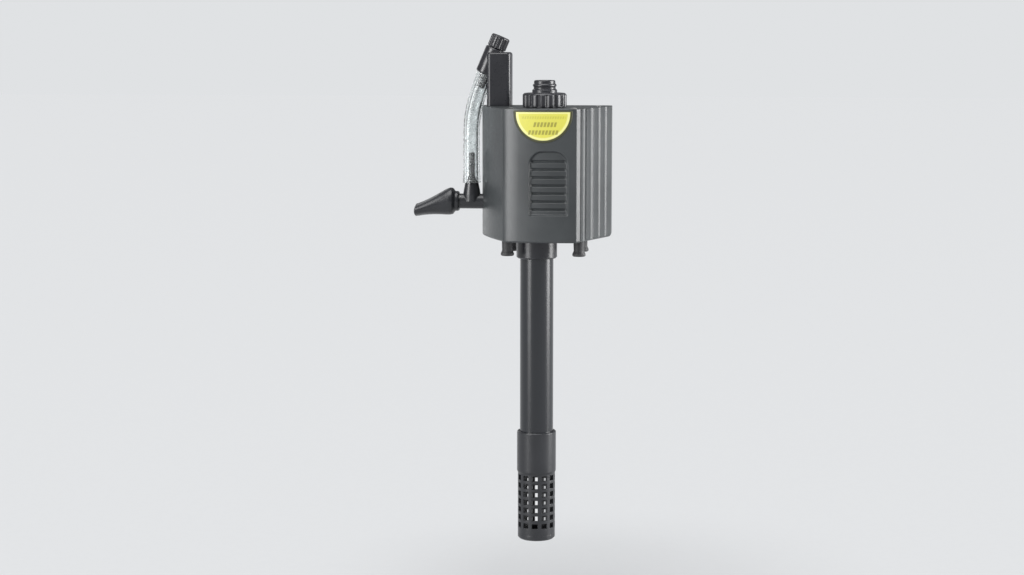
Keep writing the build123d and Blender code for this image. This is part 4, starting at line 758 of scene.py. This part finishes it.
label_finish = ink.close(
    Base_Color=label_shade,
    Roughness=0.3 + fade * 0.15 + outline_ink * 0.25,
    Coat_Weight=(1 - outline_ink) * 0.25,
    Coat_Roughness=0.12,
    Normal=ink.relief(fade, 0.02 * MM, 0.4),
)
label.data.materials.append(label_finish)
print("label printed")

# %% [markdown]
# ## The cord gland and the valve's knob
# Both are turned by hand, so both are fluted. A flute is taken off the radius: a smooth pulse that repeats round the
# axis, and that fades out at the top and bottom so that it doesn't cut the chamfers.

# %% Gland nut
GLAND = (0.0, -0.036, CASE_HALF * MM)
# A flute's half-width as a share of the pitch, and the height over which its ends fade.
FLUTE_SHARE, FLUTE_END = 0.32, 0.4 * MM


def fluted(count, depth, root, low, high):
    """Takes a depth off the radius at each of count places round the axis, between two heights and outside the root
    radius. The pulse is 1 at a flute's middle and falls smoothly to 0 at a share of the pitch."""

    def cut(angle, radius, height):
        share = np.abs((angle * count / (2 * np.pi)) % 1 - 0.5)
        pulse = 1 - smooth(share, 0.0, FLUTE_SHARE)
        reach = smooth(height, low, low + FLUTE_END) * (1 - smooth(height, high - FLUTE_END, high))
        return depth * pulse * reach * (radius > root)

    return cut


nut_profile = np.array([
    (7.05, 0.0), (9.9, 0.0), (10.4, 0.5), (10.4, 2.2), (10.4, 4.4), (10.4, 5.9), (9.6, 6.7), (6.1, 6.7),
    (5.9, 7.2), (5.9, 8.2), (5.2, 8.6), (5.2, 9.6), (5.6, 9.9), (5.6, 10.7), (5.05, 11.1), (5.05, 12.2), (4.8, 12.7),
    (3.9, 12.7), (3.7, 12.4), (3.7, 3.6), (7.05, 3.6), (7.05, 0.0),
])
nut_flutes = fluted(16, 0.75 * MM, 8.5 * MM, 0.2 * MM, 6.2 * MM)
nut = make_piece(
    "gland_cap", [turned(soften(nut_profile, 0.25) * MM, GLAND, count=192, inward=nut_flutes)],
    "housing", ["gland_nut"],
)
nut.data.materials.append(dark_finish)

# %% Valve knob
LEAN = radians(23)
VALVE_FOOT = np.array(airline_route[-1])
VALVE_AXIS = (sin(LEAN), 0.0, cos(LEAN))
knob_profile = np.array([
    (0.0, 5.0), (1.2, 5.0), (1.4, 5.3), (1.4, 13.35), (4.2, 13.35), (4.6, 13.75), (4.6, 15.3), (4.6, 17.2),
    (4.6, 18.75), (4.1, 19.35), (2.4, 19.35), (1.9, 18.9), (0.0, 18.9),
])
knob_flutes = fluted(14, 0.42 * MM, 4.0 * MM, 13.5 * MM, 19.0 * MM)
knob = make_piece(
    "valve_knob", [turned(soften(knob_profile, 0.3) * MM, VALVE_FOOT, VALVE_AXIS, 168, knob_flutes)],
    "knob", ["air_valve_knob"],
)
knob.data.materials.append(valve_finish)

# %% [markdown]
# ## Suction cups and feet
# The cups hold the pump on the glass: a button that snaps through the bracket's hole, a waist, and a thin flaring
# lip. The feet are short rubber stubs with a swollen end. Both are soft mouldings, so every corner of their profiles
# is generously rounded.

# %% Suction cups
CUPS = [(x, z) for x in (-13.25, 13.25) for z in (-14.5, 14.5)]
cup_profile = np.array([
    (0.0, -13.4), (2.9, -13.4), (4.2, -12.6), (4.2, -11.2), (3.7, -10.55), (2.6, -10.45), (2.6, -8.55), (5.0, -8.5),
    (5.1, -7.4), (6.4, -6.0), (8.6, -3.6), (10.9, -1.3), (11.9, -0.45), (12.0, -0.05), (11.3, -0.02), (9.6, -1.5),
    (7.2, -3.6), (4.6, -5.0), (2.0, -5.3), (0.0, -5.3),
])
cup_shells = [turned(soften(cup_profile, 0.7) * MM, (x * MM, 0, z * MM), (0, 1, 0), 96) for x, z in CUPS]
cups = make_piece("glass_cups", cup_shells, "housing", ["suction_cups"], crisp=60)
cups.data.materials.append(cup_finish)

# %% Feet
FEET = [(x, y) for x in (-17, 17) for y in (-43, -21)]
foot_profile = np.array([
    (0.0, 2.4), (1.3, 2.4), (1.6, 2.1), (1.6, 0.05), (2.65, -0.02), (2.6, -2.6), (2.5, -5.0), (3.1, -6.2), (3.2, -6.9),
    (2.9, -7.5), (0.0, -7.5),
])
foot_shells = [turned(soften(foot_profile, 0.5) * MM, (x * MM, y * MM, -CASE_HALF * MM), count=48) for x, y in FEET]
feet = make_piece("stub_feet", foot_shells, "housing", ["rubber_feet"], crisp=60)
feet.data.materials.append(foot_finish)

# %% [markdown]
# ## Finishes for the engineering parts
# The other parts keep the shapes they were engineered with. Each gets the finish of what it is made of.

# %% Finishes
NODE_FINISHES = {
    casing_finish: ["rear_housing"],
    lid_finish: ["top_lid"],
    dark_finish: ["gland_body", "intake_collar", "valve_bracket"],
    nozzle_finish: ["outlet_tee"],
    bracket_finish: ["suction_bracket"],
    tube_finish: ["suction_tube"],
    strainer_finish: ["strainer_basket", "strainer_cap"],
    valve_finish: ["air_valve_body", "air_barb"],
    seal_finish: ["gland_seal", "volute_seal", "upper_bush", "lower_bush"],
    screw_finish: ["lid_screws", "bracket_screws", "volute_screws"],
    motor_finish: ["motor_case", "motor_can", "volute_case", "volute_cover", "coil_bobbin_front", "coil_bobbin_rear"],
    impeller_finish: ["impeller"],
    resin_finish: ["potting"],
    core_finish: ["stator_core"],
    wire_finish: ["winding_front", "winding_rear"],
    magnet_finish: ["rotor_magnet"],
    ceramic_finish: ["ceramic_shaft", "thrust_washer"],
}
for finish_used, names in NODE_FINISHES.items():
    for name in names:
        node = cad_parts[name]
        if not node.material_slots:
            node.data.materials.append(finish_used)
        for place in node.material_slots:
            place.material = finish_used
finished = {name for names in NODE_FINISHES.values() for name in names}
print("nodes with a finish:", len(finished), "of", len(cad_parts))

# %% [markdown]
# ## The studio
# A plain pale floor and soft light. Two tall softboxes stand left and right of the pump, and the front stays without
# one: that is what draws a bright line down each side of the tube and leaves its middle dark. A weak third one
# behind lights the left flank's edge. A fourth lights only the panel and its label, through light linking, so that the
# panel's crown and its rolled edge show. An overhead light as wide as a clouded sky keeps the floor equally pale.

# %% Floor
# The pump hangs from the glass, so nothing rests on the floor. The tube and the strainer pull down by 32 mm between
# them, and the floor lies a little lower than that.
FLOOR_REACH = 6.0
PULL_ROOM = 0.034
floor_mesh = bpy.data.meshes.new("floor")
ground = low.z - PULL_ROOM
corners = np.array([(-1, -1), (1, -1), (1, 1), (-1, 1)]) * FLOOR_REACH
floor_mesh.from_pydata(np.c_[corners, np.full(4, ground)], [], [(0, 1, 2, 3)])
floor = bpy.data.objects.new("floor", floor_mesh)
bpy.context.scene.collection.objects.link(floor)
paper = Finish("pale_floor")
fibre = paper.noise(paper.spot(), 300.0)
floor_mesh.materials.append(
    paper.close(Base_Color=paper.mix(fibre, (0.78, 0.79, 0.80), (0.80, 0.81, 0.82)), Roughness=0.75 + fibre * 0.1)
)
print("floor", round(PULL_ROOM / MM), "mm below the pump")

# %% Lights
# The softboxes leave the floor out, and the panel's light reaches nothing but the cover and its label.
unlit = bpy.data.collections.new("not_lit_by_softboxes")
unlit.objects.link(floor)
unlit.collection_objects[0].light_linking.link_state = "EXCLUDE"
panel_only = bpy.data.collections.new("lit_by_the_panel_light")
for lit in (cover, label):
    panel_only.objects.link(lit)

# Each light's angle from straight in front, to the right if positive, then its distance, its width, its power and
# what it lights. All are as tall, and stand as high above the pump's middle.
LIGHT_RISE, LIGHT_TALL, LIGHT_SPREAD = 0.26, 0.95, radians(75)
LIGHTS = {
    "soft_left": (-46, 1.0, 0.40, 2.6, unlit),
    "soft_right": (93, 1.0, 0.50, 5.0, unlit),
    "back_left": (-150, 1.1, 0.40, 0.25, unlit),
    "panel_left": (-27, 1.0, 0.30, 1.1, panel_only),
}
for name, (bearing, distance, wide, power, receivers) in LIGHTS.items():
    data = bpy.data.lights.new(name, "AREA")
    data.shape = "RECTANGLE"
    data.size, data.size_y, data.energy = wide, LIGHT_TALL, power
    data.spread = LIGHT_SPREAD
    light = bpy.data.objects.new(name, data)
    place = Vector((sin(radians(bearing)) * distance, -cos(radians(bearing)) * distance, LIGHT_RISE))
    light.location = centre + place
    light.rotation_euler = (-place).to_track_quat("-Z", "Y").to_euler()
    light.visible_camera = False
    light.light_linking.receiver_collection = receivers
    bpy.context.scene.collection.objects.link(light)

overhead = bpy.data.lights.new("overhead", "SUN")
overhead.energy, overhead.angle = 2.45, radians(50)
overhead_light = bpy.data.objects.new("overhead", overhead)
overhead_light.rotation_euler = (radians(12), radians(-6), 0)
bpy.context.scene.collection.objects.link(overhead_light)
print("lights:", len(LIGHTS), "softboxes and one overhead")

# %% Sky
# The camera sees another grey than the sky that lights the pump, so that the floor's far edge melts into it.
world = bpy.data.worlds.new("pale_sky")
bpy.context.scene.world = world
world.use_nodes = True
nodes, links = world.node_tree.nodes, world.node_tree.links
sky = nodes["Background"]
sky.inputs["Color"].default_value = (0.95, 0.97, 1.0, 1)
sky.inputs["Strength"].default_value = 0.25
seen = nodes.new("ShaderNodeBackground")
seen.inputs["Color"].default_value = (0.745, 0.76, 0.775, 1)
chosen = nodes.new("ShaderNodeMixShader")
links.new(nodes.new("ShaderNodeLightPath").outputs["Is Camera Ray"], chosen.inputs[0])
links.new(sky.outputs[0], chosen.inputs[1])
links.new(seen.outputs[0], chosen.inputs[2])
links.new(chosen.outputs[0], nodes["World Output"].inputs["Surface"])
bpy.context.scene.view_settings.view_transform = "Standard"
print("sky made")
